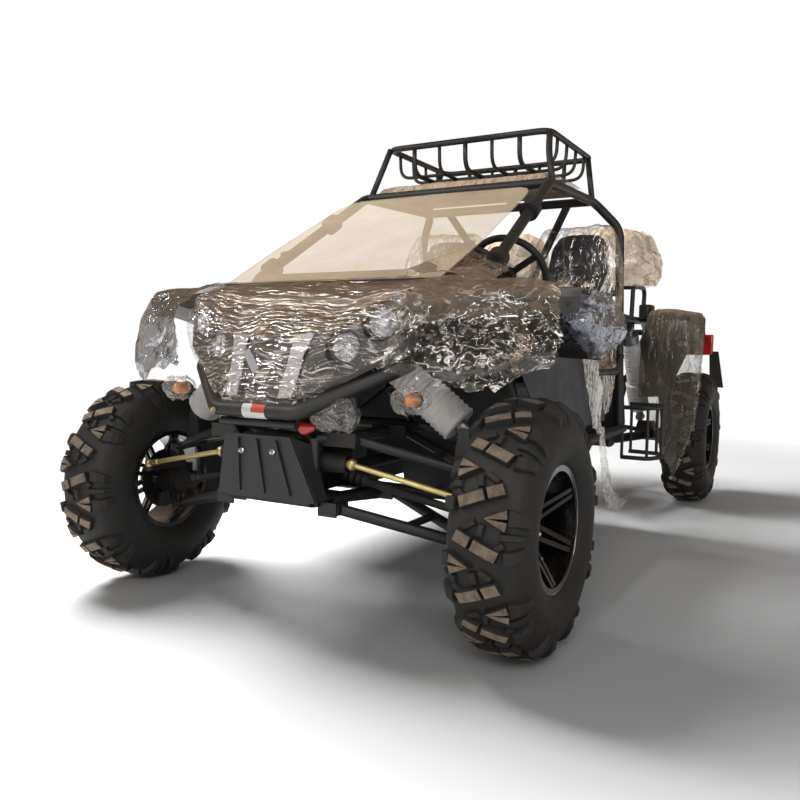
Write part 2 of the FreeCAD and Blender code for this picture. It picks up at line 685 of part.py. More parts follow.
def roll_cage():
    """Bent side loops from sill to sill, joined by cross tubes at dash, roof and shoulder."""
    loop = [
        Vector(SILL_X - 10, CABIN_FRONT + 30, SILL_Z + 10),
        PILLAR_FOOT,
        Vector(RAIL_X, ROOF_FRONT, ROOF_Z),
        Vector(RAIL_X, ROOF_REAR, ROOF_Z + 22),
        Vector(551, 1802, 1491),
        Vector(HOOP_X, CABIN_REAR, SILL_Z + 10),
    ]
    pieces = both_sides(loop, CAGE_TUBE, 110)
    pieces.append(cross_bar(Vector(RAIL_X, ROOF_FRONT + 12, ROOF_Z + 1), CAGE_TUBE))
    pieces.append(cross_bar(Vector(RAIL_X, ROOF_REAR - 30, ROOF_Z + 21), CAGE_TUBE))
    pieces.append(cross_bar(pillar_point(0.06), CAGE_TUBE))
    pieces.append(cross_bar(Vector(560, CABIN_REAR - 7, 1180), CAGE_TUBE))
    brace = [Vector(330, ROOF_REAR - 30, ROOF_Z + 21), Vector(60, CABIN_REAR - 7, 1180)]
    pieces += both_sides(brace, FRAME_TUBE, 0)
    side_bar = [Vector(548, 345, 795), Vector(SILL_X, 500, 800), Vector(SILL_X, 1600, 790),
                Vector(HOOP_X - 4, CABIN_REAR - 2, 860)]
    pieces += both_sides(side_bar, FRAME_TUBE, 90)
    return joined(pieces)


# Front end

def bull_bar():
    """Bent front bar that rises to the outer corners of the face, on two brackets."""
    bar = bent_bar([
        Vector(-400, -60, 850), Vector(-392, -128, 832), Vector(-160, -312, 703), Vector(160, -312, 703),
        Vector(392, -128, 832), Vector(400, -60, 850),
    ], 48, 80)
    brackets = []
    for side in (-1, 1):
        brackets.append(rod(Vector(side * 118, -312, 703), Vector(side * 130, -216, 622), 30))
    brackets.append(cross_bar(Vector(148, -300, 664), 26))
    brackets += both_sides([Vector(399, -66, 848), Vector(330, 111, 995)], 30, 0)
    return joined([bar] + brackets)


def skid_plate():
    """Front guard plate, narrow at the top, folded back under the frame, with pressed ribs."""
    top = [Vector(-128, -303, 627), Vector(128, -303, 627)]
    bottom = [Vector(192, -262, 425), Vector(-192, -262, 425)]
    face = slab(top + bottom, Vector(0, -PANEL, 0))
    under = slab([bottom[1], bottom[0], Vector(170, 190, 372), Vector(-170, 190, 372)], Vector(0, 0, -PANEL))
    ribs = []
    for x in (-74, 0, 74):
        rib = slab([Vector(x - 5, -306, 612), Vector(x + 5, -306, 612),
                    Vector(x * 1.35 + 5, -269, 440), Vector(x * 1.35 - 5, -269, 440)], Vector(0, -8, 0))
        ribs.append(rib)
    wings = []
    for side in (-1, 1):
        wing = skin([[Vector(side * 128, -303, 627), Vector(side * 150, -236, 600)],
                     [Vector(side * 192, -262, 425), Vector(side * 196, -212, 430)]], Vector(side * PANEL, 0, 0))
        wings.append(wing)
    return [joined([face] + ribs), under] + wings


NOSE_ROWS = (
    (411, (-135, 1050), (-150, 1012), (-158, 896), (-152, 878)),
    (145, (-112, 986), (-226, 930), (-292, 745), (-284, 722)),
    (0, (-122, 976), (-240, 925), (-306, 745), (-297, 722)),
)


def nose_row(row, side):
    return [Vector(side * row[0], y, z) for y, z in row[1:]]


LAMPS = (Vector(356, -150, 975), Vector(252, -190, 900))
LAMP_RADIUS = 56


def nose_mask():
    """Faceted face panel with four round lamp openings."""
    outer, middle, centre = NOSE_ROWS
    rows = [nose_row(outer, 1), nose_row(middle, 1), nose_row(centre, 1)]
    rows += [nose_row(middle, -1), nose_row(outer, -1)]
    mask = skin(rows, Vector(0, PANEL + 1, 0))
    for lamp in LAMPS:
        for point in (lamp, across(lamp)):
            hole = Part.makeCylinder(LAMP_RADIUS + FIT, 200, point - Vector(0, 100, 0), Vector(0, 1, 0))
            mask = mask.cut(hole)
    return mask


def headlights():
    """Four round lamps: a bowl, a bezel and a domed lens each."""
    lamps = []
    for lamp in LAMPS:
        body = turned([
            (-34, 0), (-30, 26), (-22, LAMP_RADIUS - 14), (-18, LAMP_RADIUS),
            (40, LAMP_RADIUS), (80, 26), (80, 0),
        ], lamp, Vector(0, 1, 0))
        lamps += [body, mirrored(body)]
    return Part.makeCompound(lamps)


def nose_strips():
    """Two bright strips that lean in towards the bottom of the face."""
    outer, middle, centre = NOSE_ROWS
    strip = skin([
        [Vector(146, -224, 932), Vector(182, -214, 942)],
        [Vector(104, -294, 744), Vector(132, -291, 748)],
    ], Vector(0, -PANEL - 4, 0))
    return pair(seated(strip, nose_mask()))


def hood():
    """Bonnet from the top of the face to the foot of the windscreen."""
    rows = [
        [Vector(-411, -132, 1054), Vector(-145, -108, 990), Vector(0, -118, 980), Vector(145, -108, 990),
         Vector(411, -132, 1054)],
        [Vector(-446, 56, 1110), Vector(-200, 50, 1108), Vector(0, 50, 1106), Vector(200, 50, 1108),
         Vector(446, 56, 1110)],
        [Vector(-505, 356, 1136), Vector(-200, 356, 1142), Vector(0, 356, 1140), Vector(200, 356, 1142),
         Vector(505, 356, 1136)],
    ]
    return panel(rows, -PANEL, 3)


def front_fender():
    """Left wing over the front wheel, with a drooping front lip."""
    rows = [
        [Vector(415, -118, 965), Vector(650, 2, 1000), Vector(872, 118, 1012)],
        [Vector(410, -133, 1046), Vector(650, -12, 1072), Vector(884, 104, 1078)],
        [Vector(436, 60, 1100), Vector(640, 150, 1092), Vector(866, 212, 1072)],
        [Vector(510, 268, 1112), Vector(660, 300, 1082), Vector(808, 312, 1058)],
        [Vector(566, 440, 1000), Vector(680, 460, 985), Vector(804, 470, 962)],
        [Vector(606, 619, 870), Vector(700, 619, 866), Vector(800, 619, 862)],
    ]
    return panel(rows, -PANEL, 3)


def turn_signals():
    """Amber lamp on a short stalk, each side."""
    profile = [(-34, 0), (-30, 22), (-10, 30), (20, 26), (34, 12), (34, 0)]
    lamp = turned(profile, Vector(464, -166, 747), Vector(0, 1, 0))
    stalk = rod(Vector(464, -150, 752), Vector(392, -124, 815), 12)
    return pair(joined([lamp, stalk]).cut(bull_bar()))


def side_panel():
    """Dark panel beside the footwell and the door opening."""
    corners = ((280, 846), (504, 924), (1211, 868), (1370, 576), (560, 576))
    outline = [Vector(SILL_X + FRAME_R + FIT, y, z) for y, z in corners]
    return slab(outline, Vector(4, 0, 0))


BULKHEAD_Y = CABIN_FRONT + 32
BULKHEAD_KNEE = 560


def floor_section():
    """Cross-section of the floor's underside, from the right sill to the left one."""
    lift = FRAME_R + FIT
    return [
        (-SILL_X, SILL_Z + lift + 2), (-FLOOR_HALF, FLOOR_Z + lift), (-TUNNEL_HALF - 14, FLOOR_Z + lift),
        (-TUNNEL_HALF, FLOOR_Z + TUNNEL_HEIGHT), (TUNNEL_HALF, FLOOR_Z + TUNNEL_HEIGHT),
        (TUNNEL_HALF + 14, FLOOR_Z + lift), (FLOOR_HALF, FLOOR_Z + lift), (SILL_X, SILL_Z + lift + 2),
    ]


def floor_pan():
    """Floor sheet over the rails, with a centre tunnel and sloping sides up to the sills."""
    front = [Vector(x, BULKHEAD_Y, z) for x, z in floor_section()]
    rear = [Vector(x, CABIN_REAR + CAGE_R, z) for x, z in floor_section()]
    return skin([front, rear], Vector(0, 0, SHEET))


def firewall():
    """Upright sheet behind the seats, against the hoop legs."""
    y = CABIN_REAR + CAGE_R - SHEET
    outline = [Vector(x, y, z) for x, z in floor_section()] + [Vector(565, y, 1040), Vector(-565, y, 1040)]
    return slab(outline, Vector(0, SHEET, 0))


def bulkhead():
    """Front footwell sheet: upright at the floor, then sloping forward behind the pillar legs."""
    low = [Vector(x, BULKHEAD_Y, z) for x, z in floor_section()]
    low += [Vector(SILL_X, BULKHEAD_Y, BULKHEAD_KNEE), Vector(-SILL_X, BULKHEAD_Y, BULKHEAD_KNEE)]
    high = [Vector(SILL_X, BULKHEAD_Y, BULKHEAD_KNEE), Vector(-SILL_X, BULKHEAD_Y, BULKHEAD_KNEE),
            Vector(-520, PILLAR_FOOT.y + 42, 1080), Vector(520, PILLAR_FOOT.y + 42, 1080)]
    return joined([slab(low, Vector(0, SHEET, 0)), slab(high, Vector(0, SHEET, 0))])


def dashboard():
    """Dash with a hooded gauge pod ahead of the driver."""
    section = [Vector(-460, 346, 1060), Vector(-460, 346, 1141), Vector(-460, 420, 1168), Vector(-460, 500, 1140),
               Vector(-460, 512, 1040), Vector(-460, 470, 1010)]
    body = slab(section, Vector(920, 0, 0))
    pod_profile = [(0, 0), (0, 74), (60, 80), (60, 70), (46, 66), (46, 0)]
    pod = turned(pod_profile, Vector(WHEEL_X, 452, 1168), wheel_axis())
    return joined([body, pod])


def pedals():
    """Two hanging pedals."""
    shapes = []
    for x in (300, 410):
        arm = rod(Vector(x, 480, 800), Vector(x, 560, 640), 16)
        pad = Part.makeBox(70, 8, 60, Vector(x - 35, 556, 600))
        stem = rod(Vector(x, 360, 815), Vector(x, 484, 796), 16)
        shapes.append(seated(joined([arm, pad, stem]), bulkhead()))
    return Part.makeCompound(shapes)


def windscreen():
    """One flat clear sheet, narrow at the foot, wide past the lower clamps."""
    rake = math.radians(WINDSHIELD_RAKE)
    along = Vector(0, math.cos(rake), math.sin(rake))
    outward = Vector(0, -math.sin(rake), math.cos(rake))
    outline = []
    for half, reach in ((374, 0), (430, 327), (405, 1070)):
        outline.append((half, reach))
    left = [WINDSHIELD_BASE - Vector(WINDSHIELD_BASE.x - half, 0, 0) + along * reach
            for half, reach in outline]
    right = [across(point) for point in reversed(left)]
    return slab(left + right, outward * PANEL)


def windscreen_clamps():
    """Collars on the pillars, each with an arm to a pad under the sheet."""
    rake = math.radians(WINDSHIELD_RAKE)
    along = Vector(0, math.cos(rake), math.sin(rake))
    outward = Vector(0, -math.sin(rake), math.cos(rake))
    axis = (pillar_point(1) - pillar_point(0)).normalize()
    clamps = []
    for share, half, reach in ((0.17, 404, 340), (0.67, 396, 790)):
        centre = pillar_point(share)
        collar = rod(centre - axis * 26, centre + axis * 26, 76)
        pad_centre = WINDSHIELD_BASE - Vector(WINDSHIELD_BASE.x - half, 0, 0) + along * reach
        pad = rod(pad_centre - outward * 16, pad_centre - outward * FIT, 40)
        arm = rod(centre, pad_centre - outward * 10, 22)
        bore = rod(centre - axis * 60, centre + axis * 60, CAGE_TUBE + 2 * FIT)
        clamps.append(joined([collar, pad, arm]).cut(bore))
    return Part.makeCompound(clamps + [mirrored(clamp) for clamp in clamps])


# Roof

def roof_panel():
    """Roof sheet between the rails, arched at the front edge, with side skirts."""
    half = RAIL_X - CAGE_R - FIT
    rows = []
    for y, z, skirt in ((ROOF_FRONT + 46, ROOF_Z + 4, 2), (ROOF_FRONT + 92, ROOF_Z + 50, 44),
                        (ROOF_REAR - 80, ROOF_Z + 64, 40), (ROOF_REAR - 56, ROOF_Z + 48, 20)):
        rows.append([Vector(-half, y, z - skirt), Vector(-half + 24, y, z), Vector(half - 24, y, z),
                     Vector(half, y, z - skirt)])
    return skin(rows, Vector(0, 0, -SHEET))


RACK_HALF = 402
RACK_FRONT = 1155
RACK_REAR = 1780
RACK_FLOOR = 1708


def roof_rack():
    """Open basket: top ring, floor ring, curved uprights that run on as floor bars, four legs."""
    drop = 40
    pieces = []
    top = [Vector(0, RACK_FRONT, RACK_TOP), Vector(RACK_HALF, RACK_FRONT, RACK_TOP),
           Vector(RACK_HALF, RACK_REAR, RACK_TOP), Vector(0, RACK_REAR, RACK_TOP)]
    pieces += both_sides(top, LIGHT_TUBE, 60)
    low = [Vector(0, RACK_FRONT + drop, RACK_FLOOR), Vector(RACK_HALF - drop, RACK_FRONT + drop, RACK_FLOOR),
           Vector(RACK_HALF - drop, RACK_REAR - drop, RACK_FLOOR), Vector(0, RACK_REAR - drop, RACK_FLOOR)]
    pieces += both_sides(low, LIGHT_TUBE * 0.8, 50)
    thin = 14
    for x in (-240, -120, 0, 120, 240):
        bar = [Vector(x, RACK_FRONT, RACK_TOP), Vector(x, RACK_FRONT + drop, RACK_FLOOR),
               Vector(x, RACK_REAR - drop, RACK_FLOOR), Vector(x, RACK_REAR, RACK_TOP)]
        pieces.append(bent_bar(bar, thin, 45))
    for y in (RACK_FRONT + 155, RACK_FRONT + 312, RACK_REAR - 155):
        side = [Vector(RACK_HALF, y, RACK_TOP), Vector(RACK_HALF - drop, y, RACK_FLOOR)]
        pieces += both_sides(side, thin, 0)
    front_leg = [Vector(RACK_HALF - 4, RACK_FRONT + 30, RACK_TOP),
                 Vector(RACK_HALF + 12, RACK_FRONT - 40, 1740),
                 Vector(RAIL_X, ROOF_FRONT + 45, ROOF_Z + 10)]
    rear_leg = [Vector(RACK_HALF, RACK_REAR - 60, RACK_TOP), Vector(RAIL_X, 1652, ROOF_Z + 28)]
    pieces += both_sides(front_leg, LIGHT_TUBE, 120)
    pieces += both_sides(rear_leg, LIGHT_TUBE, 0)
    return joined(pieces)


# Seats

def seat(side):
    """Bucket seat: cushion, raked back and narrower head part."""
    cushion = slab([Vector(0, 1190, 620), Vector(0, 1180, 740), Vector(0, 1580, 700), Vector(0, 1620, 620)],
                   Vector(SEAT_WIDTH, 0, 0)).translated(Vector(-SEAT_WIDTH / 2, 0, 0))
    back_outline = [
        (-195, 0), (195, 0), (202, 300), (192, 520), (150, 600), (130, 780), (90, 850), (-90, 850),
        (-130, 780), (-150, 600), (-192, 520), (-202, 300),
    ]
    recline = math.radians(13)
    up = Vector(0, math.sin(recline), math.cos(recline))
    behind = Vector(0, math.cos(recline), -math.sin(recline))
    foot = Vector(0, 1512, 660)
    back = slab([foot + Vector(x, 0, 0) + up * reach for x, reach in back_outline], behind * 105)
    shape = joined([cushion, back])
    return shape.translated(Vector(side * SEAT_X, 0, 0))


def seat_pedestals():
    """Sheet pedestals between the sloping floor and the seats."""
    lift = FRAME_R + SHEET + 2 * FIT
    slope = (SILL_Z - FLOOR_Z) / (SILL_X - FLOOR_HALF)
    outer = SEAT_X + 150
    outline = [Vector(215, 1240, FLOOR_Z + lift), Vector(FLOOR_HALF, 1240, FLOOR_Z + lift),
               Vector(outer, 1240, FLOOR_Z + lift + 2 + (outer - FLOOR_HALF) * slope),
               Vector(outer, 1240, 619.7), Vector(215, 1240, 619.7)]
    return pair(slab(outline, Vector(0, 400, 0)))


# Rear end

ENGINE_FRONT = -670
ENGINE_WIDTH = 430
ENGINE_LENGTH = 460
ENGINE_HEIGHT = 440


def engine():
    """The engine as one plain block behind the seats."""
    block_corner = aft(-ENGINE_WIDTH / 2, ENGINE_FRONT, 420)
    block = Part.makeBox(ENGINE_WIDTH, ENGINE_LENGTH, ENGINE_HEIGHT, block_corner)
    foot_z = FLOOR_Z + FRAME_R + FIT
    feet = [Part.makeBox(60, 50, 90, aft(x, -575, foot_z)) for x in (-170, 110)]
    return joined([block.makeChamfer(30, block.Edges)] + feet)


def gearbox():
    """Transaxle behind the engine, with stubs for the half shafts."""
    box_corner = aft(-115, ENGINE_FRONT + ENGINE_LENGTH + FIT, GEARBOX_BAR.z + FRAME_R + FIT)
    box = Part.makeBox(230, 330, 226, box_corner)
    stub = cross_bar(Vector(150, WHEELBASE, AXLE_Z + 60), 80)
    return joined([box.makeChamfer(20, box.Edges), stub])


def front_differential():
    """Front drive housing with stubs for the half shafts."""
    box = Part.makeBox(180, 210, 136, Vector(-90, -100, 422))
    stub = cross_bar(Vector(140, 0, AXLE_Z + 94), 62)
    bar_top = LOWER_PIVOT.z + FRAME_R + FIT
    foot = Part.makeBox(120, 150, 14, Vector(-60, 80, bar_top))
    return joined([box.makeChamfer(16, box.Edges), stub, foot])


def prop_shaft():
    """Drive shaft in the tunnel, from the engine to the front housing."""
    return rod(Vector(0, 110 + FIT, 460), aft(0, ENGINE_FRONT - FIT, 460), 44)


def half_shaft(inner, outer):
    """Half shaft with a bellows at each end."""
    axis = (outer - inner).normalize()
    length = (outer - inner).Length
    boot = []
    for share, radius in ((0, 32), (16, 27), (26, 31), (38, 24), (48, 27), (60, 20), (70, 23), (84, 15)):
        boot.append((share, radius))
    near = [(0, 0)] + boot
    far = [(length - along, radius * 0.85) for along, radius in reversed(boot[3:])] + [(length - 38, 0)]
    return turned(near + far, inner, axis)


def front_half_shafts():
    return pair(half_shaft(Vector(134, 0, AXLE_Z + 92), Vector(KINGPIN_X - 46, 0, AXLE_Z + 5)))


def rear_half_shafts():
    return pair(half_shaft(Vector(144, WHEELBASE, AXLE_Z + 58), Vector(600 - FIT, WHEELBASE, AXLE_Z + 2)))


def rear_arms():
    """Trailing arms with the hub carriers, a lateral link and the shock bracket."""
    pivot = TRAIL_PIVOT
    elbow = aft(560, -270, 400)
    hub = Vector(612, WHEELBASE - 40, AXLE_Z)
    beam = bent_bar([pivot, elbow, hub], 50, 120)
    sleeve = rod(pivot - Vector(TRAIL_SLEEVE, 0, 0), pivot + Vector(TRAIL_SLEEVE, 0, 0), 64)
    carrier_foot = Vector(600, WHEELBASE, AXLE_Z)
    carrier = Part.makeCylinder(BEARING_RADIUS, HUB_BACK - 600, carrier_foot, Vector(1, 0, 0))
    web = Part.makeBox(30, 110, 90, Vector(597, WHEELBASE - 110, AXLE_Z - 45))
    link = rod(aft(243, 100, 347), Vector(610, WHEELBASE + 20, AXLE_Z - 30), 30)
    tower_top = REAR_SHOCK_FOOT.z - SHOCK_ROD / 2 - 2 - FIT
    tower = slab([
        aft(REAR_SHOCK_FOOT.x - 8, -310, 400), aft(REAR_SHOCK_FOOT.x - 8, -110, 396),
        Vector(REAR_SHOCK_FOOT.x - 8, REAR_SHOCK_FOOT.y + 26, tower_top),
        Vector(REAR_SHOCK_FOOT.x - 8, REAR_SHOCK_FOOT.y - 26, tower_top),
    ], Vector(90, 0, 0))
    return pair(joined([beam, sleeve, carrier, web, link, tower]))


def rear_guard():
    """Hoops over the engine bay, standing on the upper rails."""
    hoop = [aft(500, -440, REAR_DECK_Z + 10), aft(500, -420, 1250), aft(500, -140, 1250),
            aft(500, -160, REAR_DECK_Z + 10)]
    return joined(both_sides(hoop, LIGHT_TUBE, 40) + [cross_bar(aft(500, -280, 1250), LIGHT_TUBE - 3)])


def rear_fender():
    """Left rear wing: a front face, a rounded top and a rear flap, cut away for the wheel."""
    rows = [
        [aft(548, -415, 630), aft(620, -419, 630), aft(705, -415, 640)],
        [aft(556, -428, 860), aft(690, -432, 880), aft(806, -420, 884)],
        [aft(572, -420, 1010), aft(720, -426, 1010), aft(880, -412, 980)],
        [aft(590, -380, 1088), aft(720, -388, 1092), aft(850, -370, 1058)],
        [aft(590, -280, 1104), aft(720, -280, 1108), aft(846, -280, 1082)],
        [aft(580, 10, 1100), aft(700, 10, 1104), aft(822, 10, 1076)],
        [aft(570, 290, 1068), aft(680, 290, 1070), aft(780, 290, 1050)],
        [aft(570, 380, 1000), aft(680, 384, 1000), aft(770, 370, 985)],
        [aft(580, 410, 860), aft(690, 414, 860), aft(800, 400, 860)],
    ]
    return panel(rows, -PANEL, 2)


def wheel_flare():
    """Outer lip of the rear wing over the tyre."""
    rows = [
        [aft(842, -330, 1000), aft(898, -320, 900)],
        [aft(838, -150, 1010), aft(916, -130, 880)],
        [aft(832, 110, 1000), aft(918, 130, 850)],
        [aft(812, 340, 880), aft(900, 360, 760)],
        [aft(800, 422, 690), aft(884, 426, 655)],
    ]
    return panel(rows, -PANEL, 2)


def rear_flaps():
    """Hanging rubber flaps ahead of and behind each rear wheel."""
    front = slab([aft(652, -412, 660), aft(712, -412, 660), aft(788, -412, 270), aft(742, -412, 190),
                  aft(690, -412, 390)], Vector(0, -4, 0))
    rear = slab([aft(790, 428, 884), aft(845, 428, 884), aft(882, 428, 655), aft(800, 428, 655)],
                Vector(0, 5, 0))
    return Part.makeCompound([front, rear])


def tail_light():
    """Red lamp at the rear outer corner."""
    lamp = Part.makeBox(62, 50, 128, aft(752, 380, 862))
    return lamp.makeFillet(8, lamp.Edges)


def side_guard():
    """Open basket step ahead of the rear wheel: two rings joined by upright bars."""
    ring_z = (596, 336)
    pieces = []
    for z in ring_z:
        ring = [aft(560, -820, z), aft(700, -820, z), aft(748, -700, z), aft(700, -580, z),
                aft(540, -560, z)]
        pieces.append(bent_bar(ring, 22, 50))
    for x, back in ((564, -820), (690, -814), (738, -700), (690, -584), (548, -562)):
        pieces.append(rod(aft(x, back, ring_z[1]), aft(x, back, ring_z[0]), 16))
    pieces.append(rod(aft(560, -820, ring_z[0]), Vector(HOOP_X, CABIN_REAR + 10, SILL_Z + 50), 22))
    return joined(pieces)


def muffler():
    """Silencer across the tail with one outlet."""
    drum_profile = [(-230, 0), (-230, 50), (-210, 72), (210, 72), (230, 50), (230, 0)]
    drum = turned(drum_profile, aft(0, 255, 800), Vector(1, 0, 0))
    outlet = rod(aft(150, 260, 800), aft(150, 370, 800), 46)
    inlet = bent_bar([aft(-120, 190, 800), aft(-120, 30, 800), aft(-120, -220, 700)], 44, 90)
    return seated(joined([drum, outlet, inlet]), engine())


def air_box():
    """Rounded box on the front stay of the left rear wing."""
    box = Part.makeBox(68, 130, 76, Vector(518, REAR_STAY_FRONT - 65, REAR_DECK_Z + STAY_TUBE / 2 + FIT))
    upright = [edge for edge in box.Edges if abs(edge.tangentAt(0).z) > 0.9]
    box = box.makeFillet(24, upright)
    rim_edges = [edge for edge in box.Edges if edge.BoundBox.ZLength < 1]
    return box.makeFillet(10, rim_edges)


def export(name, shape):
    """Writes one node; stations become distances from the middle of the whole box."""
    shift = (TYRE_RADIUS - REAR_END) / 2
    shape.translated(Vector(0, shift, 0)).exportStep("parts/" + name + ".step")


def main():
    os.makedirs("parts", exist_ok=True)
    cage = roll_cage()
    frame = chassis_frame().cut(cage)
    front_end = UPPER_RAIL_END.y + 65
    floor_end = CABIN_REAR - 25
    for name, start, end in (("chassis_front", -TYRE_DIAMETER, front_end), ("chassis_floor", front_end, floor_end),
                             ("chassis_rear", floor_end, REAR_END)):
        stretch = Part.makeBox(TRACK, end - start, RACK_TOP, Vector(-HALF_TRACK, start, 0))
        export(name, frame.common(stretch))
    export("roll_cage", cage)
    pan = joined([floor_pan(), firewall(), bulkhead()])
    column_hole = rod(STEERING_CENTRE - wheel_axis() * 415, Vector(96, RACK_STATION + 46, RACK_Z + 44), 44)
    pan = seated(pan, cage, frame, column_hole)
    export("floor_pan", pan)
    export("roof_panel", roof_panel())
    export("roof_rack", seated(roof_rack(), cage))
    export("windscreen", windscreen())
    export("windscreen_clamps", windscreen_clamps())
    mask = nose_mask()
    bonnet = seated(hood(), cage, mask)
    export("hood", bonnet)
    export("nose_mask", mask)
    export("nose_strips", nose_strips())
    export("headlights", headlights())
    export("bull_bar", bull_bar().cut(frame))
    export("turn_signals", turn_signals())
    export("skid_plate", Part.makeCompound([seated(plate, frame) for plate in skid_plate()]))
    fender = seated(front_fender(), cage, frame, bonnet, mask, side_panel())
    export("front_fender_left", fender)
    export("front_fender_right", mirrored(fender))
    export("side_panels", pair(side_panel()))
    column = steering_column()
    export("dashboard", seated(dashboard(), cage, column, bonnet))
    export("pedals", pedals())
    export("steering_column", column)
    export("steering_wheel", steering_wheel())
    export("rack_housing", seated(rack_housing(), frame))
    export("steering_rack", steering_rack())
    export("seat_left", seat(1))
    export("seat_right", seat(-1))
    export("seat_pedestals", seat_pedestals())
    export("front_arms", Part.makeCompound([lower_arms(), upper_arms()]))
    front_corner = (FRONT_SHOCK_TOP, FRONT_SHOCK_FOOT)
    rear_corner = (REAR_SHOCK_TOP, REAR_SHOCK_FOOT)
    export("shocks", Part.makeCompound([pair(shock(*front_corner)), pair(shock(*rear_corner))]))
    sleeves = [pair(shock_sleeve(*front_corner)), pair(shock_sleeve(*rear_corner))]
    export("shock_sleeves", Part.makeCompound(sleeves))
    housings = Part.makeCompound([front_differential(), gearbox()])
    export("drive_housings", housings)
    shafts = Part.makeCompound([front_half_shafts(), rear_half_shafts(), prop_shaft()])
    export("drive_shafts", shafts.cut(housings))
    export("engine", engine())
    export("muffler", muffler())
    export("air_box", air_box())
    export("rear_arms", rear_arms().cut(frame))
    export("rear_guard", seated(rear_guard(), frame))
    rear_wing = seated(joined([rear_fender(), wheel_flare()]), frame)
    export("rear_fender_left", rear_wing)
    export("rear_fender_right", mirrored(rear_wing))
    lamp = seated(tail_light(), rear_wing)
    export("tail_lights", pair(lamp))
    export("rear_flaps", pair(rear_flaps().cut(rear_wing).cut(lamp)))
    export("side_guards", pair(seated(side_guard(), cage, frame, pan)))
    tread = tyre()
    wheel = joined([rim(), hub_and_disc()])
    for end, station in (("front", 0), ("rear", WHEELBASE)):
        for name, side in (("left", 1), ("right", -1)):
            export("tyre_" + end + "_" + name, placed_wheel_piece(tread, side, station))
            export("rim_" + end + "_" + name, placed_wheel_piece(wheel, side, station))
    upright = knuckle()
    export("knuckle_left", upright)
    export("knuckle_right", mirrored(upright))


main()
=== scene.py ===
import math

import bpy
import bmesh
import numpy as np
from mathutils import Matrix, Vector
from mathutils.bvhtree import BVHTree
from mathutils.geometry import delaunay_2d_cdt


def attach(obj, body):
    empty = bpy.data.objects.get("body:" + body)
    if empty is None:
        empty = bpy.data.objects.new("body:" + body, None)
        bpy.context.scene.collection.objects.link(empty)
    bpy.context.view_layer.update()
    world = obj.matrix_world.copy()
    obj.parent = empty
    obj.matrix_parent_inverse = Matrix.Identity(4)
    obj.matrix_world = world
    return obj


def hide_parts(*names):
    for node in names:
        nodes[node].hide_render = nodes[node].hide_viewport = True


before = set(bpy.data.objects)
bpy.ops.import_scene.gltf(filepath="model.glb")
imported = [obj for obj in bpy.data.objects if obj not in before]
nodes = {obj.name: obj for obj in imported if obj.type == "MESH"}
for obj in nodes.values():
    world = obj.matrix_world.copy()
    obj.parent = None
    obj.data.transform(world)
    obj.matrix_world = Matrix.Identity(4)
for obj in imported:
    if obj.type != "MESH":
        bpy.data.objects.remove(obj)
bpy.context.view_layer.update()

# The front axle's y in m; the other values in mm.
FRONT_AXLE = -1.4045
WHEELBASE = 2750
HALF_TRACK = 770
TYRE_RADIUS = 381
RACK_TOP = 1840
# Each axle's name with its station, and the sign of x on each side.
AXLES = (("front", 0), ("rear", WHEELBASE))
HANDS = ((1, "left"), (-1, "right"))


def at(x, station, z):
    """A point given in millimetres, with its station counted rearward from the front axle."""
    return Vector((x / 1000, FRONT_AXLE + station / 1000, z / 1000))


def new_object(name, shape, *finishes):
    """An object of a mesh, or of a bmesh, which is freed, with its materials and its place in the scene."""
    mesh = shape
    if isinstance(shape, bmesh.types.BMesh):
        mesh = bpy.data.meshes.new(name)
        shape.to_mesh(mesh)
        shape.free()
    for finish in finishes:
        mesh.materials.append(finish)
    piece = bpy.data.objects.new(name, mesh)
    bpy.context.scene.collection.objects.link(piece)
    return piece


def bridge(bm, lower, upper, closed=True):
    """Joins two rings of vertices, or two lines of them, by a band of faces."""
    faces = []
    for index in range(len(lower) if closed else len(lower) - 1):
        following = (index + 1) % len(lower)
        faces.append(bm.faces.new((lower[index], lower[following], upper[following], upper[index])))
    return faces


def joined(name, parts, finish, mirror=False):
    """One new piece from the meshes of some parts, mirrored to the other side if asked."""
    bm = bmesh.new()
    for part in parts:
        bm.from_mesh(part.data)
    if mirror:
        bmesh.ops.transform(bm, matrix=Matrix.Scale(-1, 4, (1, 0, 0)), verts=bm.verts)
        bmesh.ops.reverse_faces(bm, faces=bm.faces)
    return new_object(name, bm, finish)


def applied(piece):
    """Applies every modifier of a piece."""
    evaluated = piece.evaluated_get(bpy.context.evaluated_depsgraph_get())
    mesh = bpy.data.meshes.new_from_object(evaluated)
    piece.modifiers.clear()
    piece.data = mesh


def thickened(piece, thickness, both_ways=False):
    """Gives a sheet its thickness in mm: behind its face, or both ways with its edges bevelled."""
    thick = piece.modifiers.new("thick", "SOLIDIFY")
    thick.thickness = thickness / 1000
    if both_ways:
        thick.offset = 0
        bevel = piece.modifiers.new("edge", "BEVEL")
        bevel.width = thickness / 4000
    applied(piece)


def fitted(piece, body, slot, *nodes_replaced):
    """Says which body a piece rides on, and hides the CAD nodes that it replaces; slot, its material slot, is
    not used.
    """
    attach(piece, body)
    if nodes_replaced:
        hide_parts(*nodes_replaced)


# Colours and materials

def linear(code):
    """sRGB hex to the linear colour that a shader takes."""
    values = []
    for start in (1, 3, 5):
        level = int(code[start:start + 2], 16) / 255
        values.append(level / 12.92 if level <= 0.04045 else ((level + 0.055) / 1.055) ** 2.4)
    return (*values, 1.0)


def grey(level):
    """A grey of one level, linear."""
    return (level, level, level, 1)


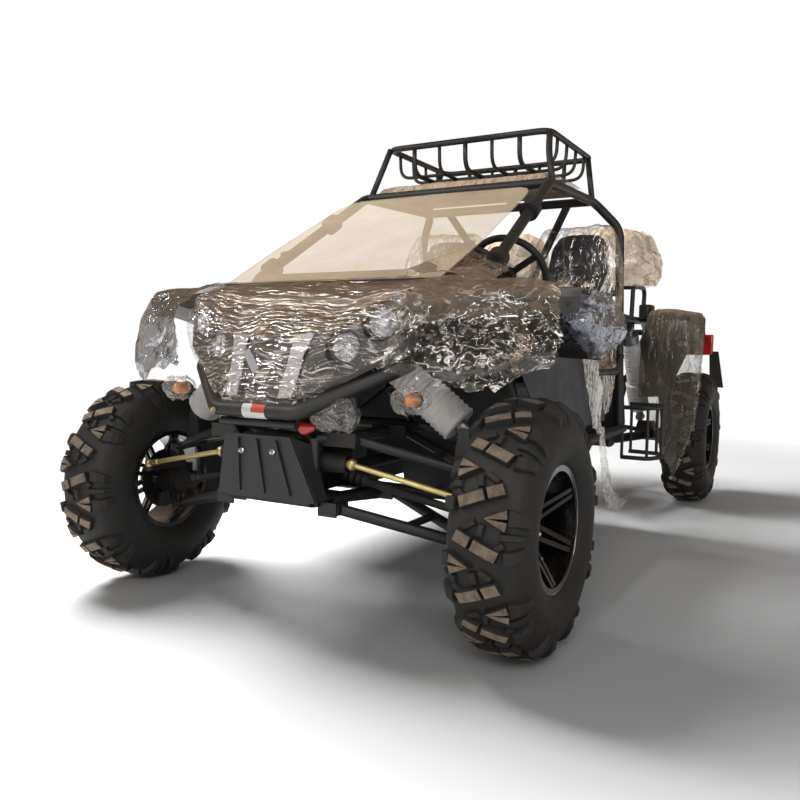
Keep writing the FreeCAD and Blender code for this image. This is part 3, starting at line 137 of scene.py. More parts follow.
def add(tree, kind, inputs=None, stops=(), **settings):
    """Adds a node with its settings, its input values and its links, and a ramp's (position, grey) stops."""
    item = tree.nodes.new("ShaderNode" + kind)
    for name, value in settings.items():
        setattr(item, name, value)
    for name, value in (inputs or {}).items():
        if isinstance(value, bpy.types.NodeSocket):
            tree.links.new(value, item.inputs[name])
        else:
            item.inputs[name].default_value = value
    if stops:
        elements = item.color_ramp.elements
        while len(elements) < len(stops):
            elements.new(0.5)
        for element, (position, level) in zip(elements, stops):
            element.position = position
            element.color = grey(level)
    return item


def new_material(name):
    """An empty material with its output and a Principled shader, and the object's own coordinates."""
    material = bpy.data.materials.new(name)
    material.use_nodes = True
    tree = material.node_tree
    tree.nodes.clear()
    shader = add(tree, "BsdfPrincipled")
    add(tree, "OutputMaterial", {"Surface": shader.outputs["BSDF"]})
    place = add(tree, "TexCoord").outputs["Object"]
    return material, tree, shader, place


def coated(name, base, worn, roughness, metallic=0.0, grain=2.5, dust=0.35, coat=0.0, bump=0.15,
           clouds=9.0):
    """A painted, coated or moulded surface: mottled gloss, and a fine relief with its pitch in mm.

    worn is the colour of the dust and wear that clouds the base colour, dust is how strongly it does so, and
    clouds is how many clouds there are per metre. grain is the pitch of the relief: what is finer on the real
    surface is drawn 1 mm or more apart, so that it shows."""
    material, tree, shader, place = new_material(name)
    mottle = {"Vector": place, "Scale": clouds, "Detail": 8.0, "Roughness": 0.62}
    cloud = add(tree, "TexNoise", mottle).outputs["Fac"]
    share = add(tree, "ValToRGB", {"Fac": cloud}, [(0.38, 0.0), (0.72, dust)]).outputs["Color"]
    colour = add(tree, "Mix", {"Factor": share, "A": linear(base), "B": linear(worn)}, data_type="RGBA")
    tree.links.new(colour.outputs[2], shader.inputs["Base Color"])
    dulled = [(0.3, roughness), (0.75, min(roughness + 0.18, 1.0))]
    gloss = add(tree, "ValToRGB", {"Fac": cloud}, dulled).outputs["Color"]
    tree.links.new(gloss, shader.inputs["Roughness"])
    fine = add(tree, "TexNoise", {"Vector": place, "Scale": 1000 / grain, "Detail": 2.0}).outputs["Fac"]
    relief = add(tree, "Bump", {"Height": fine, "Strength": bump, "Distance": 0.0004})
    tree.links.new(relief.outputs["Normal"], shader.inputs["Normal"])
    shader.inputs["Metallic"].default_value = metallic
    shader.inputs["Coat Weight"].default_value = coat
    return material


# Powder coat and moulded skins: dark, evenly soft gloss, with dust that lightens them in clouds.
powder_black = coated("powder coated steel, satin black", "#141313", "#3a3532", 0.42, grain=1.6, dust=0.3)
plate_black = coated("powder coated sheet, dark grey", "#191a1e", "#36363a", 0.46, grain=1.2, dust=0.3)
moulded_dark = coated("moulded ABS, dark blue grey", "#25262f", "#3d3d46", 0.5, grain=1.0, dust=0.4, bump=0.3)
body_paint = coated("moulded ABS, taupe black", "#26211e", "#5e554d", 0.34, grain=6.0, dust=0.5, coat=0.25)
roof_tan = coated("moulded ABS, taupe under dust", "#6f6152", "#94836f", 0.4, grain=6.0, dust=0.6)
trim_silver = coated("painted trim, silver grey", "#b9b7ba", "#8f8c8c", 0.4, metallic=0.3, dust=0.35)
# Cast wheels: near black under a hard gloss coat that mirrors the lamps.
alloy_black = coated("cast alloy, gloss black", "#0e0d0d", "#38312c", 0.16, grain=4.0, dust=0.35, coat=0.7)
# Tyre rubber: dull black, with tan clay dust on the lugs that touched the ground and less on the shoulders.
tyre_rubber = coated("vulcanised rubber, black", "#0f0e0d", "#241f1b", 0.62, grain=1.2, dust=0.5, bump=0.4,
                     clouds=26.0)
tread_dust = coated("rubber with dry clay dust", "#8d7b69", "#4d4238", 0.85, grain=2.2, dust=0.85, bump=0.5,
                    clouds=42.0)
shoulder_dust = coated("rubber with thin clay dust", "#141210", "#3a312a", 0.7, grain=2.0, dust=0.6, bump=0.4,
                       clouds=30.0)
# Bare and plated metals: tinted or grey mirrors, dulled by dust.
zinc_gold = coated("steel, yellow zinc plate", "#cdbb85", "#8c7648", 0.34, metallic=0.85, dust=0.5)
cast_grey = coated("cast iron, oiled", "#1e1c1b", "#443d37", 0.5, metallic=0.5, dust=0.5)
machined = coated("machined steel", "#8f9094", "#5c5752", 0.3, metallic=0.9, dust=0.4)
chrome = coated("chrome plate", "#d8d8da", "#a5a2a0", 0.08, metallic=1.0, dust=0.3, bump=0.02)
# Soft pieces: chalky foam, dull moulded rubber and leather-grained vinyl.
foam_white = coated("foamed polyethylene sheet", "#d9d6d1", "#a8a19a", 0.6, grain=3.0, dust=0.55, bump=0.5)
rubber_plain = coated("moulded rubber, black", "#181717", "#37322e", 0.6, grain=1.5, dust=0.4)
seat_vinyl = coated("vinyl coated cloth, charcoal", "#30333b", "#565a63", 0.48, grain=1.4, dust=0.4, bump=0.5)
# Lamp lenses: saturated, under a clear glossy skin.
red_lens = coated("moulded acrylic, red", "#c92019", "#8d1a14", 0.12, grain=5.0, coat=0.8, dust=0.3)
amber_lens = coated("moulded acrylic, amber", "#f08a26", "#c06a1a", 0.12, grain=5.0, coat=0.8, dust=0.3)
# Blank printed labels: flat colour with a low sheen.
label_white = coated("printed vinyl, white", "#dcdad6", "#b7b2aa", 0.4, dust=0.3)
label_red = coated("printed vinyl, orange red", "#cf4a30", "#9c4433", 0.4, dust=0.3)
label_yellow = coated("printed vinyl, yellow", "#d8a92a", "#a37d22", 0.4, dust=0.3)


def clear_sheet(name, tint, alpha, roughness):
    """See-through plastic, clouded a little with dust."""
    material, tree, shader, place = new_material(name)
    cloud = add(tree, "TexNoise", {"Vector": place, "Scale": 5.0, "Detail": 5.0}).outputs["Fac"]
    thin_to_dusty = [(0.3, alpha * 0.8), (0.7, min(alpha * 1.15, 1.0))]
    haze = add(tree, "ValToRGB", {"Fac": cloud}, thin_to_dusty).outputs["Color"]
    tree.links.new(haze, shader.inputs["Alpha"])
    shader.inputs["Base Color"].default_value = linear(tint)
    shader.inputs["Roughness"].default_value = roughness
    return material


# Tan of the painted reflection of warm light on film that faces up; dusty in film_finish sets its strength.
SKYLIT_TAN = "#a8937c"


def film_finish(name, folds, facets, veil, tint="#e6e1da", glaze=0.45, lines=0.5, bands=0.12, dusty=0.22,
                metallic=1.0):
    """Thin blown polyethylene: nearly clear face on, bright along fine folds and where it turns away.

    folds and facets are how many fine folds and flat crumples it has per metre along each axis; veil is how
    much it hides face on; glaze is how much more where it turns away; lines is how white its creases are;
    bands is how strong its soft streaks are; dusty is how strongly what faces up is tinted tan and clouded, a
    painted reflection of warm light from above; metallic is how strongly it mirrors the lamps."""
    material, tree, shader, place = new_material(name)
    wander = add(tree, "TexNoise", {"Vector": place, "Scale": 6.0, "Detail": 2.0}).outputs["Color"]
    moved = add(tree, "MixRGB", {"Fac": 0.05, 1: place, 2: wander}, blend_type="LINEAR_LIGHT").outputs[0]
    drawn = add(tree, "Mapping", {"Vector": moved, "Scale": folds}).outputs["Vector"]
    wave = add(tree, "TexNoise", {"Vector": drawn, "Scale": 1.0, "Detail": 2.0}).outputs["Fac"]
    middle = add(tree, "Math", {0: wave, 1: 0.5}, operation="SUBTRACT").outputs[0]
    ridge = add(tree, "Math", {0: middle}, operation="ABSOLUTE").outputs[0]
    split = add(tree, "Mapping", {"Vector": moved, "Scale": facets}).outputs["Vector"]
    facet = add(tree, "TexVoronoi", {"Vector": split, "Scale": 1.0}).outputs["Distance"]
    height = add(tree, "Math", {0: ridge, 1: 1.2, 2: facet}, operation="MULTIPLY_ADD").outputs[0]
    relief = add(tree, "Bump", {"Height": height, "Strength": 0.9, "Distance": 0.009}).outputs["Normal"]
    tree.links.new(relief, shader.inputs["Normal"])
    edge_on = add(tree, "LayerWeight", {"Blend": 0.28, "Normal": relief}).outputs["Fresnel"]
    mirror = add(tree, "Math", {0: edge_on, 1: glaze, 2: veil}, operation="MULTIPLY_ADD").outputs[0]
    thin = add(tree, "ValToRGB", {"Fac": ridge}, [(0.0, 1.0), (0.016, 0.3), (0.045, 0.0)]).outputs["Color"]
    patch = add(tree, "TexNoise", {"Vector": place, "Scale": 14.0, "Detail": 3.0}).outputs["Fac"]
    mask = add(tree, "ValToRGB", {"Fac": patch}, [(0.42, 0.0), (0.6, lines)]).outputs["Color"]
    drawn_lines = add(tree, "Math", {0: thin, 1: mask}, operation="MULTIPLY").outputs[0]
    crease = add(tree, "Attribute", attribute_name="crease").outputs["Fac"]
    white = add(tree, "Math", {0: drawn_lines, 1: crease}, operation="MAXIMUM").outputs[0]
    wide = add(tree, "VectorMath", {0: drawn, 1: (0.3, 0.3, 0.3)}, operation="MULTIPLY").outputs["Vector"]
    band = add(tree, "TexNoise", {"Vector": wide, "Scale": 1.0, "Detail": 3.0}).outputs["Fac"]
    soft = add(tree, "ValToRGB", {"Fac": band}, [(0.5, 0.0), (0.7, bands)]).outputs["Color"]
    # Painted reflection: film that faces up is made less clear and tinted tan, as if lit by warm light from
    # above.
    facing = add(tree, "SeparateXYZ", {0: add(tree, "NewGeometry").outputs["Normal"]}).outputs["Z"]
    skylit_share = add(tree, "ValToRGB", {"Fac": facing}, [(0.45, 0.0), (0.95, dusty)]).outputs["Color"]
    clouds = add(tree, "Math", {0: soft, 1: skylit_share}, operation="ADD").outputs[0]
    streaked = add(tree, "Math", {0: mirror, 1: white}, operation="ADD").outputs[0]
    total = add(tree, "Math", {0: streaked, 1: clouds}, operation="ADD", use_clamp=True).outputs[0]
    tree.links.new(total, shader.inputs["Alpha"])
    # The painted reflection's share of tan in the film's colour, taken from what faces up.
    dust = add(tree, "Math", {0: skylit_share, 1: 2.5}, operation="MULTIPLY", use_clamp=True).outputs[0]
    colour = add(tree, "Mix", {"Factor": dust, "A": linear(tint), "B": linear(SKYLIT_TAN)}, data_type="RGBA")
    tree.links.new(colour.outputs[2], shader.inputs["Base Color"])
    hazy = add(tree, "Math", {0: white, 1: clouds}, operation="ADD").outputs[0]
    rough = add(tree, "Math", {0: hazy, 1: 0.7, 2: 0.09}, operation="MULTIPLY_ADD", use_clamp=True).outputs[0]
    tree.links.new(rough, shader.inputs["Roughness"])
    shader.inputs["Metallic"].default_value = metallic
    return material


# Film: a thin skin that shows only at its folds, 17 to 90 mm apart, where it turns away, and in a painted
# tan reflection of warm light on what faces up.
film_pulled = film_finish("polyethylene film, pulled tight", (2, 30, 50), (5, 50, 75), 0.02, glaze=0.3,
                          lines=0.75, bands=0.3, dusty=0.34)
film_loose = film_finish("polyethylene film, crumpled", (11, 11, 34), (26, 26, 26), 0.04, glaze=0.4,
                         lines=0.65, bands=0.16, dusty=0.3)
film_hung = film_finish("polyethylene film, hanging", (34, 34, 5), (36, 36, 8), 0.06, glaze=0.4, lines=0.7,
                        bands=0.3)
film_double = film_finish("polyethylene film, several layers", (26, 26, 18), (30, 30, 22), 0.42, "#8d9098",
                          glaze=0.4)
film_wrap = film_finish("polyethylene film, wrapped", (60, 60, 60), (50, 50, 50), 0.05, glaze=0.3, lines=0.4,
                        metallic=0.4)
film_drape = film_finish("polyethylene film, dusty brown", (44, 44, 5), (24, 24, 5), 0.5, "#6e655b",
                         glaze=0.35, lines=0.4, bands=0.3, metallic=0.3)
film_roof = film_finish("polyethylene film over tan dust", (40, 4, 12), (30, 5, 12), 0.5, "#b9a48c",
                        glaze=0.3, lines=0.4, metallic=0.2)
film_beige = film_finish("polyethylene bag, dusty beige", (18, 18, 9), (20, 20, 10), 0.55, "#e2c9ab",
                         glaze=0.4, metallic=0.0)
# Clear sheet: see-through, with a faint haze and a sharp gloss.
windscreen_sheet = clear_sheet("polycarbonate sheet, dusty", "#c9b598", 0.42, 0.1)
lamp_clear = clear_sheet("moulded polycarbonate, clear", "#c8ccd0", 0.12, 0.06)


FINISHES = (
    (powder_black, ("air_box", "bull_bar", "chassis", "front_arms", "pedals", "rear_arms", "rear_guard",
                    "roll_cage", "roof_rack", "side_guards", "steering_column")),
    (plate_black, ("floor_pan", "seat_pedestals", "skid_plate")),
    (moulded_dark, ("dashboard", "side_panels")),
    (body_paint, ("front_fender", "hood", "nose_mask", "rear_fender")),
    (rubber_plain, ("drive_shafts", "rack_housing", "rear_flaps", "steering_wheel", "tyre",
                    "windscreen_clamps")),
    (cast_grey, ("drive_housings", "engine", "knuckle")),
    (machined, ("muffler", "shocks")),
    (alloy_black, ("rim",)),
    (zinc_gold, ("steering_rack",)),
    (trim_silver, ("nose_strips",)),
    (roof_tan, ("roof_panel",)),
    (seat_vinyl, ("seat_left", "seat_right")),
    (foam_white, ("shock_sleeves",)),
    (lamp_clear, ("headlights",)),
    (red_lens, ("tail_lights",)),
    (amber_lens, ("turn_signals",)),
    (windscreen_sheet, ("windscreen",)),
)
for name, obj in nodes.items():
    obj.data.materials.clear()
    obj.data.materials.append(next(finish for finish, openings in FINISHES if name.startswith(openings)))


# Tyres

# The carcass as (across, radius), its edges on the rim's beads; the tread repeats nine times round it.
SECTION = [
    (-92, 181), (-97, 190), (-104, 196), (-113, 214), (-121, 240), (-123, 266), (-118, 294), (-108, 320),
    (-96, 340), (-78, 352), (-52, 359), (-26, 361.5), (0, 362), (26, 361.5), (52, 359), (78, 352), (96, 340),
    (108, 320), (118, 294), (123, 266), (121, 240), (113, 214), (104, 196), (97, 190), (92, 181),
]
PITCHES = 9
LUG_HEIGHT = 19


class Section:
    """The tyre's outer section, read by the distance across it from the middle of the tread, in mm."""

    def __init__(self, points):
        fine = []
        for first, second in zip(points, points[1:]):
            for step in range(4):
                share = step / 4
                fine.append([low + (high - low) * share for low, high in zip(first, second)])
        fine.append(points[-1])
        self.points = np.array(fine)
        for _ in range(3):
            self.points[1:-1] = (self.points[:-2] + 2 * self.points[1:-1] + self.points[2:]) / 4
        steps = np.linalg.norm(np.diff(self.points, axis=0), axis=1)
        run = np.concatenate([[0], np.cumsum(steps)])
        self.run = run - run[-1] / 2
        along = np.gradient(self.points, self.run, axis=0)
        self.normals = np.stack([-along[:, 1], along[:, 0]], axis=1)
        self.normals /= np.linalg.norm(self.normals, axis=1)[:, None]

    def place(self, across, around, height):
        """A point on the tyre: across the section and around the tread in mm, raised by a height."""
        x = np.interp(across, self.run, self.points[:, 0])
        radius = np.interp(across, self.run, self.points[:, 1])
        normal_x = np.interp(across, self.run, self.normals[:, 0])
        normal_r = np.interp(across, self.run, self.normals[:, 1])
        length = math.hypot(normal_x, normal_r)
        x += height * normal_x / length
        radius += height * normal_r / length
        angle = around / TYRE_RADIUS
        return Vector((x, radius * math.sin(angle), radius * math.cos(angle))) / 1000


def lug(bm, section, left, right, heights, top_slot, draft=3.5, edge=1.8):
    """A tread block along a strip: its two edges as (across, around) points, with a height at each."""
    count = len(left)
    rings = []
    for grow, share, sink in ((draft, 0, -3), (0, 1, -edge), (-edge, 1, 0)):
        ring_left, ring_right = [], []
        for index in range(count):
            low, high = Vector(left[index]), Vector(right[index])
            wide = (high - low).normalized()
            before, after = max(index - 1, 0), min(index + 1, count - 1)
            middle = [(Vector(left[i]) + Vector(right[i])) / 2 for i in (before, after)]
            along = (middle[1] - middle[0]).normalized()
            push = 0
            if index == 0:
                push = -grow
            if index == count - 1:
                push = grow
            start = low - wide * grow + along * push
            end = high + wide * grow + along * push
            height = heights[index] * share + sink
            ring_left.append(bm.verts.new(section.place(start.x, start.y, height)))
            ring_right.append(bm.verts.new(section.place(end.x, end.y, height)))
        rings.append((ring_left, ring_right))
    top_left, top_right = rings[-1]
    for index in range(count - 1):
        face = bm.faces.new((top_left[index], top_left[index + 1], top_right[index + 1], top_right[index]))
        face.material_index = top_slot
    for lower, upper in zip(rings, rings[1:]):
        bridge(bm, lower[0] + lower[1][::-1], upper[0] + upper[1][::-1])


def strip(start, end, width, count):
    """The two edges of a straight block between two (across, around) points."""
    start, end = Vector(start), Vector(end)
    side = (end - start).normalized().orthogonal() * width / 2
    middle = [start.lerp(end, index / (count - 1)) for index in range(count)]
    return [point - side for point in middle], [point + side for point in middle]


def tread_pitch(bm, section, side, offset):
    """Half a pitch of the tread: a slanted bar in two blocks, a notched vee block, shoulder lugs and ties.

    Lengths are in mm, as (across, around), with the height third for lugs and ties."""
    def flip(points):
        """The points on this half of the tread, at this place round it."""
        return [Vector((side * point[0], point[1] + offset)) for point in points]

    def block(left, right, heights, top):
        """One block; top is the material slot of its worn face."""
        lug(bm, section, flip(left), flip(right), heights, top)

    start, end = Vector((-58, 24)), Vector((56, -24))
    for low, high in ((0.0, 0.36), (0.42, 1.0)):
        left, right = strip(start.lerp(end, low), start.lerp(end, high), 33, 4)
        block(left, right, [LUG_HEIGHT] * 4, 1)
    tip, notch = Vector((14, 74)), Vector((38, 74))
    for direction in (-1, 1):
        arm = tip + Vector((58, direction * 30))
        inner = arm + Vector((4, -direction * 26))
        left = [tip - Vector((0, direction)), tip.lerp(arm, 0.5), arm]
        right = [notch + Vector((0, direction * 0.5)), notch.lerp(inner, 0.5), inner]
        block(left, right, [LUG_HEIGHT] * 3, 1)
    outer = [(76, 84, 17), (98, 84, 17), (118, 80, 15), (136, 76, 9), (150, 74, 3)]
    inner = [(70, -30, 18), (90, -27, 18), (110, -20, 15), (124, -16, 8), (134, -14, 3)]
    tie = [(62, 30, 11), (84, 30, 12), (112, 28, 10), (146, 28, 3)]
    for line, (before, lead), (behind, trail), top in (
            (outer, (-24, 0.1), (20, -0.12), 2), (inner, (-16, 0), (21, -0.1), 2), (tie, (-9, 0), (9, 0), 0)):
        first = line[0][0]
        left = [(across, around + before + (across - first) * lead) for across, around, _ in line]
        right = [(across, around + behind + (across - first) * trail) for across, around, _ in line]
        block(left, right, [height for _, _, height in line], top)
    for start, end in (((50, -8), (70, 10)), ((6, 26), (12, 58)), ((-40, 44), (-8, 62))):
        left, right = strip(start, end, 15, 3)
        block(left, right, [11, 12, 11], 0)


def tyre_mesh():
    """Knobbly tyre about the X axis: revolved carcass, slanted bars, vee blocks and shoulder lugs."""
    section = Section(SECTION)
    bm = bmesh.new()
    turns = 108
    rings = []
    for turn in range(turns):
        angle = 2 * math.pi * turn / turns
        ring = []
        for x, radius in section.points:
            ring.append(bm.verts.new(Vector((x, radius * math.sin(angle), radius * math.cos(angle))) / 1000))
        rings.append(ring)
    for first, second in zip(rings, rings[1:] + rings[:1]):
        bridge(bm, first, second, closed=False)
    pitch = 2 * math.pi * TYRE_RADIUS / PITCHES
    for number in range(PITCHES):
        tread_pitch(bm, section, 1, number * pitch)
        tread_pitch(bm, section, -1, (number + 0.5) * pitch)
    bmesh.ops.recalc_face_normals(bm, faces=bm.faces)
    mesh = bpy.data.meshes.new("tyre")
    bm.to_mesh(mesh)
    bm.free()
    return mesh


def tyres():
    """The tyres: one shape, turned and placed for each wheel, with the treads not in step."""
    mesh = tyre_mesh()
    for end, station in AXLES:
        for side, hand in HANDS:
            turn = Matrix.Rotation(math.radians(7 if side > 0 else 15), 4, "X")
            if side < 0:
                turn = Matrix.Rotation(math.pi, 4, "Z") @ turn
            piece = new_object(f"tread_{end}_{hand}", mesh.copy(), tyre_rubber, tread_dust, shoulder_dust)
            piece.data.transform(Matrix.Translation(at(side * HALF_TRACK, station, TYRE_RADIUS)) @ turn)
            fitted(piece, f"wheel_{end}_{hand}", "tyre_rubber", f"tyre_{end}_{hand}")


# Protective film

class Surfaces:
    """The surfaces of CAD nodes, read by straight rays, to lay film on them."""

    def __init__(self, *names):
        points, faces = [], []
        for name in names:
            mesh = nodes[name].data
            first = len(points)
            points += [vertex.co.copy() for vertex in mesh.vertices]
            faces += [[first + index for index in polygon.vertices] for polygon in mesh.polygons]
        self.tree = BVHTree.FromPolygons(points, faces)

    def reach(self, centre, outward, limit):
        """How far the outermost surface lies from a centre along a direction, or zero without one."""
        start = centre + outward * limit
        hit = self.tree.ray_cast(start, -outward, limit)[0]
        return (hit - centre).length if hit is not None else 0.0


def crumple(plane, spacing, seed, stretch):
    """Heights from 0 to 1 at (u, v) points: flat facets between scattered points, met in straight creases."""
    scaled = plane / np.array(stretch)
    low, high = scaled.min(axis=0) - spacing, scaled.max(axis=0) + spacing
    count = max(12, int(np.prod((high - low) / spacing)))
    rng = np.random.default_rng(seed)
    scatter = rng.uniform(low, high, (count, 2))
    scatter = np.concatenate([scatter, [low, high, (low[0], high[1]), (high[0], low[1])]])
    heights = rng.uniform(0, 1, len(scatter))
    corners = [Vector(point) for point in scatter]
    flat_points, _, faces, sources, _, _ = delaunay_2d_cdt(corners, [], [], 0, 1e-6)
    solid = [Vector((point.x, point.y, heights[source[0]])) for point, source in zip(flat_points, sources)]
    tree = BVHTree.FromPolygons(solid, faces)
    found = []
    for point in scaled:
        hit = tree.ray_cast(Vector((point[0], point[1], 2)), Vector((0, 0, -1)), 3)[0]
        found.append(hit.z if hit else 0.5)
    return np.array(found)


def smooth_rows(rows, count):
    """More rows by a smooth curve through the given ones, along the first axis."""
    rows = np.asarray(rows, dtype=float)
    ends = np.concatenate([[2 * rows[0] - rows[1]], rows, [2 * rows[-1] - rows[-2]]])
    found = []
    for place in np.linspace(0, len(rows) - 1, count):
        index = min(int(place), len(rows) - 2)
        t = place - index
        a, b, c, d = ends[index:index + 4]
        found.append(b + 0.5 * t * (c - a + t * (2 * a - 5 * b + 4 * c - d + t * (3 * (b - c) + d - a))))
    return np.array(found)


def laid_film(name, finish, rests_on, rows, size, creases, reach=0.06, clearance=0.004, relax=120,
              torn=(0, 0, 0, 0), seed=1):
    """Film along rows of (x, station, z) points in mm: held off the CAD surfaces near it like a tight skin,
    then creased, and facing out from them.

    size is how many points it has over its rows and along them; creases is a list of (depth, spacing,
    stretch), the first two in metres; reach is how far it looks for surfaces either way, and clearance how
    far it stays off them; relax is how often its hollows are pulled level; torn is how ragged each edge is,
    as a share of the sheet: first row, last row, first column, last column."""
    columns, count = size
    grid = smooth_rows(smooth_rows(rows, columns).transpose(1, 0, 2), count).transpose(1, 0, 2) / 1000
    grid[:, :, 1] += FRONT_AXLE
    step_u, step_v = np.gradient(grid, axis=0), np.gradient(grid, axis=1)
    outward = np.cross(step_v, step_u)
    outward /= np.linalg.norm(outward, axis=2)[:, :, None] + 1e-12
    surfaces = Surfaces(*rests_on)
    skin = np.zeros((columns, count))
    for i in range(columns):
        for j in range(count):
            inside = Vector(grid[i, j] - outward[i, j] * reach)
            found = surfaces.reach(inside, Vector(outward[i, j]), 2 * reach)
            skin[i, j] = max(found + clearance - reach if found else 0.0, 0.0)
    base = skin.copy()
    for _ in range(relax):
        wide = np.pad(skin, 1, mode="edge")
        average = (wide[:-2, 1:-1] + wide[2:, 1:-1] + wide[1:-1, :-2] + wide[1:-1, 2:]) / 4
        skin = np.maximum(base, average)
    across = np.concatenate([[0], np.cumsum(np.linalg.norm(np.diff(grid[:, count // 2], axis=0), axis=1))])
    along = np.concatenate([[0], np.cumsum(np.linalg.norm(np.diff(grid[columns // 2], axis=0), axis=1))])
    plane = np.stack(np.meshgrid(across, along, indexing="ij"), axis=2).reshape(-1, 2)
    lift = np.zeros(len(plane))
    for number, (depth, spacing, stretch) in enumerate(creases):
        lift += depth * crumple(plane, spacing, 11 * number + seed, stretch)
    lift = lift.reshape(columns, count)
    points = grid + outward * (skin + lift)[:, :, None]
    rng = np.random.default_rng(seed)
    shift = rng.uniform(-0.28, 0.28, (2, columns, count, 1))
    points += step_u * shift[0] + step_v * shift[1]
    wide = np.pad(lift, 1, mode="edge")
    bend = np.abs(4 * lift - wide[:-2, 1:-1] - wide[2:, 1:-1] - wide[1:-1, :-2] - wide[1:-1, 2:])
    strength = np.clip(bend / (np.percentile(bend, 98.5) + 1e-6), 0, 1) ** 2 * 0.32
    edge_u, edge_v = [np.array([np.interp(np.arange(length) / 6, np.arange(length // 6 + 2),
                                          rng.uniform(0, 1, length // 6 + 2)) for _ in range(2)])
                      for length in (columns, count)]
    faces = []
    for i in range(columns - 1):
        for j in range(count - 1):
            u, v = i / (columns - 1), j / (count - 1)
            if u < torn[0] * edge_v[0, j] or u > 1 - torn[1] * edge_v[1, j]:
                continue
            if v < torn[2] * edge_u[0, i] or v > 1 - torn[3] * edge_u[1, i]:
                continue
            a, b, c, d = i * count + j, (i + 1) * count + j, (i + 1) * count + j + 1, i * count + j + 1
            faces += [(a, b, c), (a, c, d)] if (i + j) % 2 else [(a, b, d), (b, c, d)]
    mesh = bpy.data.meshes.new(name)
    mesh.from_pydata([tuple(point) for point in points.reshape(-1, 3)], [], faces)
    crease = mesh.attributes.new("crease", "FLOAT", "POINT")
    crease.data.foreach_set("value", strength.reshape(-1).astype(np.float32))
    piece = new_object(name, mesh, finish)
    bm = bmesh.new()
    bm.from_mesh(mesh)
    bmesh.ops.delete(bm, geom=[vertex for vertex in bm.verts if not vertex.link_faces], context="VERTS")
    bm.to_mesh(mesh)
    bm.free()
    return piece


def film(name, finish, rests_on, rows, size, creases, slack=1.08, held="draped", lies_on=None, **form):
    """slack, how much larger the creased film is, is not used; lies_on, what it rests on where that is less
    than all that it was laid over, is not used."""
    piece = laid_film(name, finish, rests_on, rows, size, creases, **form)
    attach(piece, "chassis")


def sided(rows, side, order):
    """Rows drawn for the left side, laid on the given side; order is 1 or -1, so that they face out there."""
    return [[(side * x, station, z) for x, station, z in row] for row in rows[::order]]


def symmetric(rows):
    """Rows given from the middle outward, run on over both sides."""
    return [[(-x, station, z) for x, station, z in row[:0:-1]] + row for row in rows]


def nose_film():
    """Film pulled tight over the face and the front of the hood, gathered along its lower edge."""
    rows = symmetric([
        [(0, -306, 710), (100, -296, 712), (185, -276, 716)],
        [(0, -284, 790), (140, -272, 790), (250, -250, 790)],
        [(0, -250, 880), (250, -215, 880), (400, -170, 880)],
        [(0, -200, 970), (250, -165, 970), (470, -100, 970)],
        [(0, -120, 1035), (250, -90, 1038), (480, -60, 1035)],
    ])
    film("nose_film", film_pulled, ("nose_mask", "hood", "headlights", "nose_strips"), rows, (110, 130),
         [(0.008, 0.022, (1, 9)), (0.005, 0.03, (1, 2))], torn=(0.04, 0, 0.01, 0.01), seed=3)


def hood_film():
    """Film over the hood up to the windscreen, with long soft folds."""
    rows = symmetric([
        [(0, -120, 1030), (250, -90, 1034), (480, -60, 1030)],
        [(0, -10, 1088), (250, 0, 1088), (470, 20, 1075)],
        [(0, 60, 1126), (240, 70, 1122), (455, 90, 1108)],
    ])
    film("hood_film", film_pulled, ("hood",), rows, (44, 130),
         [(0.007, 0.03, (1, 8)), (0.002, 0.03, (1, 2))], torn=(0, 0, 0.02, 0.02), seed=5)


def fender_film(hand, side, finish, seed):
    """Crumpled film thrown over a front fender, hanging in front of the wheel with a pulled tip. On the right
    it is drawn in a little, as the photograph shows it."""
    rows = [
        [(300, 330, 1075), (380, 90, 1110), (430, -60, 1090),
         (425, -190, 1010), (400, -215, 890), (380, -220, 830)],
        [(400, 400, 1060), (480, 170, 1112), (530, -20, 1088),
         (530, -150, 1000), (525, -195, 880), (520, -205, 800)],
        [(520, 500, 1030), (600, 260, 1095), (640, 0, 1092),
         (645, -110, 1000), (650, -160, 880), (655, -170, 745)],
        [(640, 560, 985), (700, 330, 1070), (740, 40, 1090),
         (752, -60, 1010), (760, -100, 890), (740, -120, 800)],
        [(742, 640, 905), (790, 400, 1020), (830, 120, 1075),
         (858, 10, 1010), (868, -10, 920), (850, -20, 860)],
    ]
    if side < 0:
        rows = [[(x - 0.11 * max(x - 420, 0), station, z) for x, station, z in row] for row in rows]
    film(f"fender_film_{hand}", finish, (f"front_fender_{hand}",), sided(rows, side, side), (90, 120),
         [(0.018, 0.085, (1, 1)), (0.007, 0.035, (1, 1))], slack=1.15, torn=(0.02, 0.05, 0.02, 0.07),
         seed=seed)


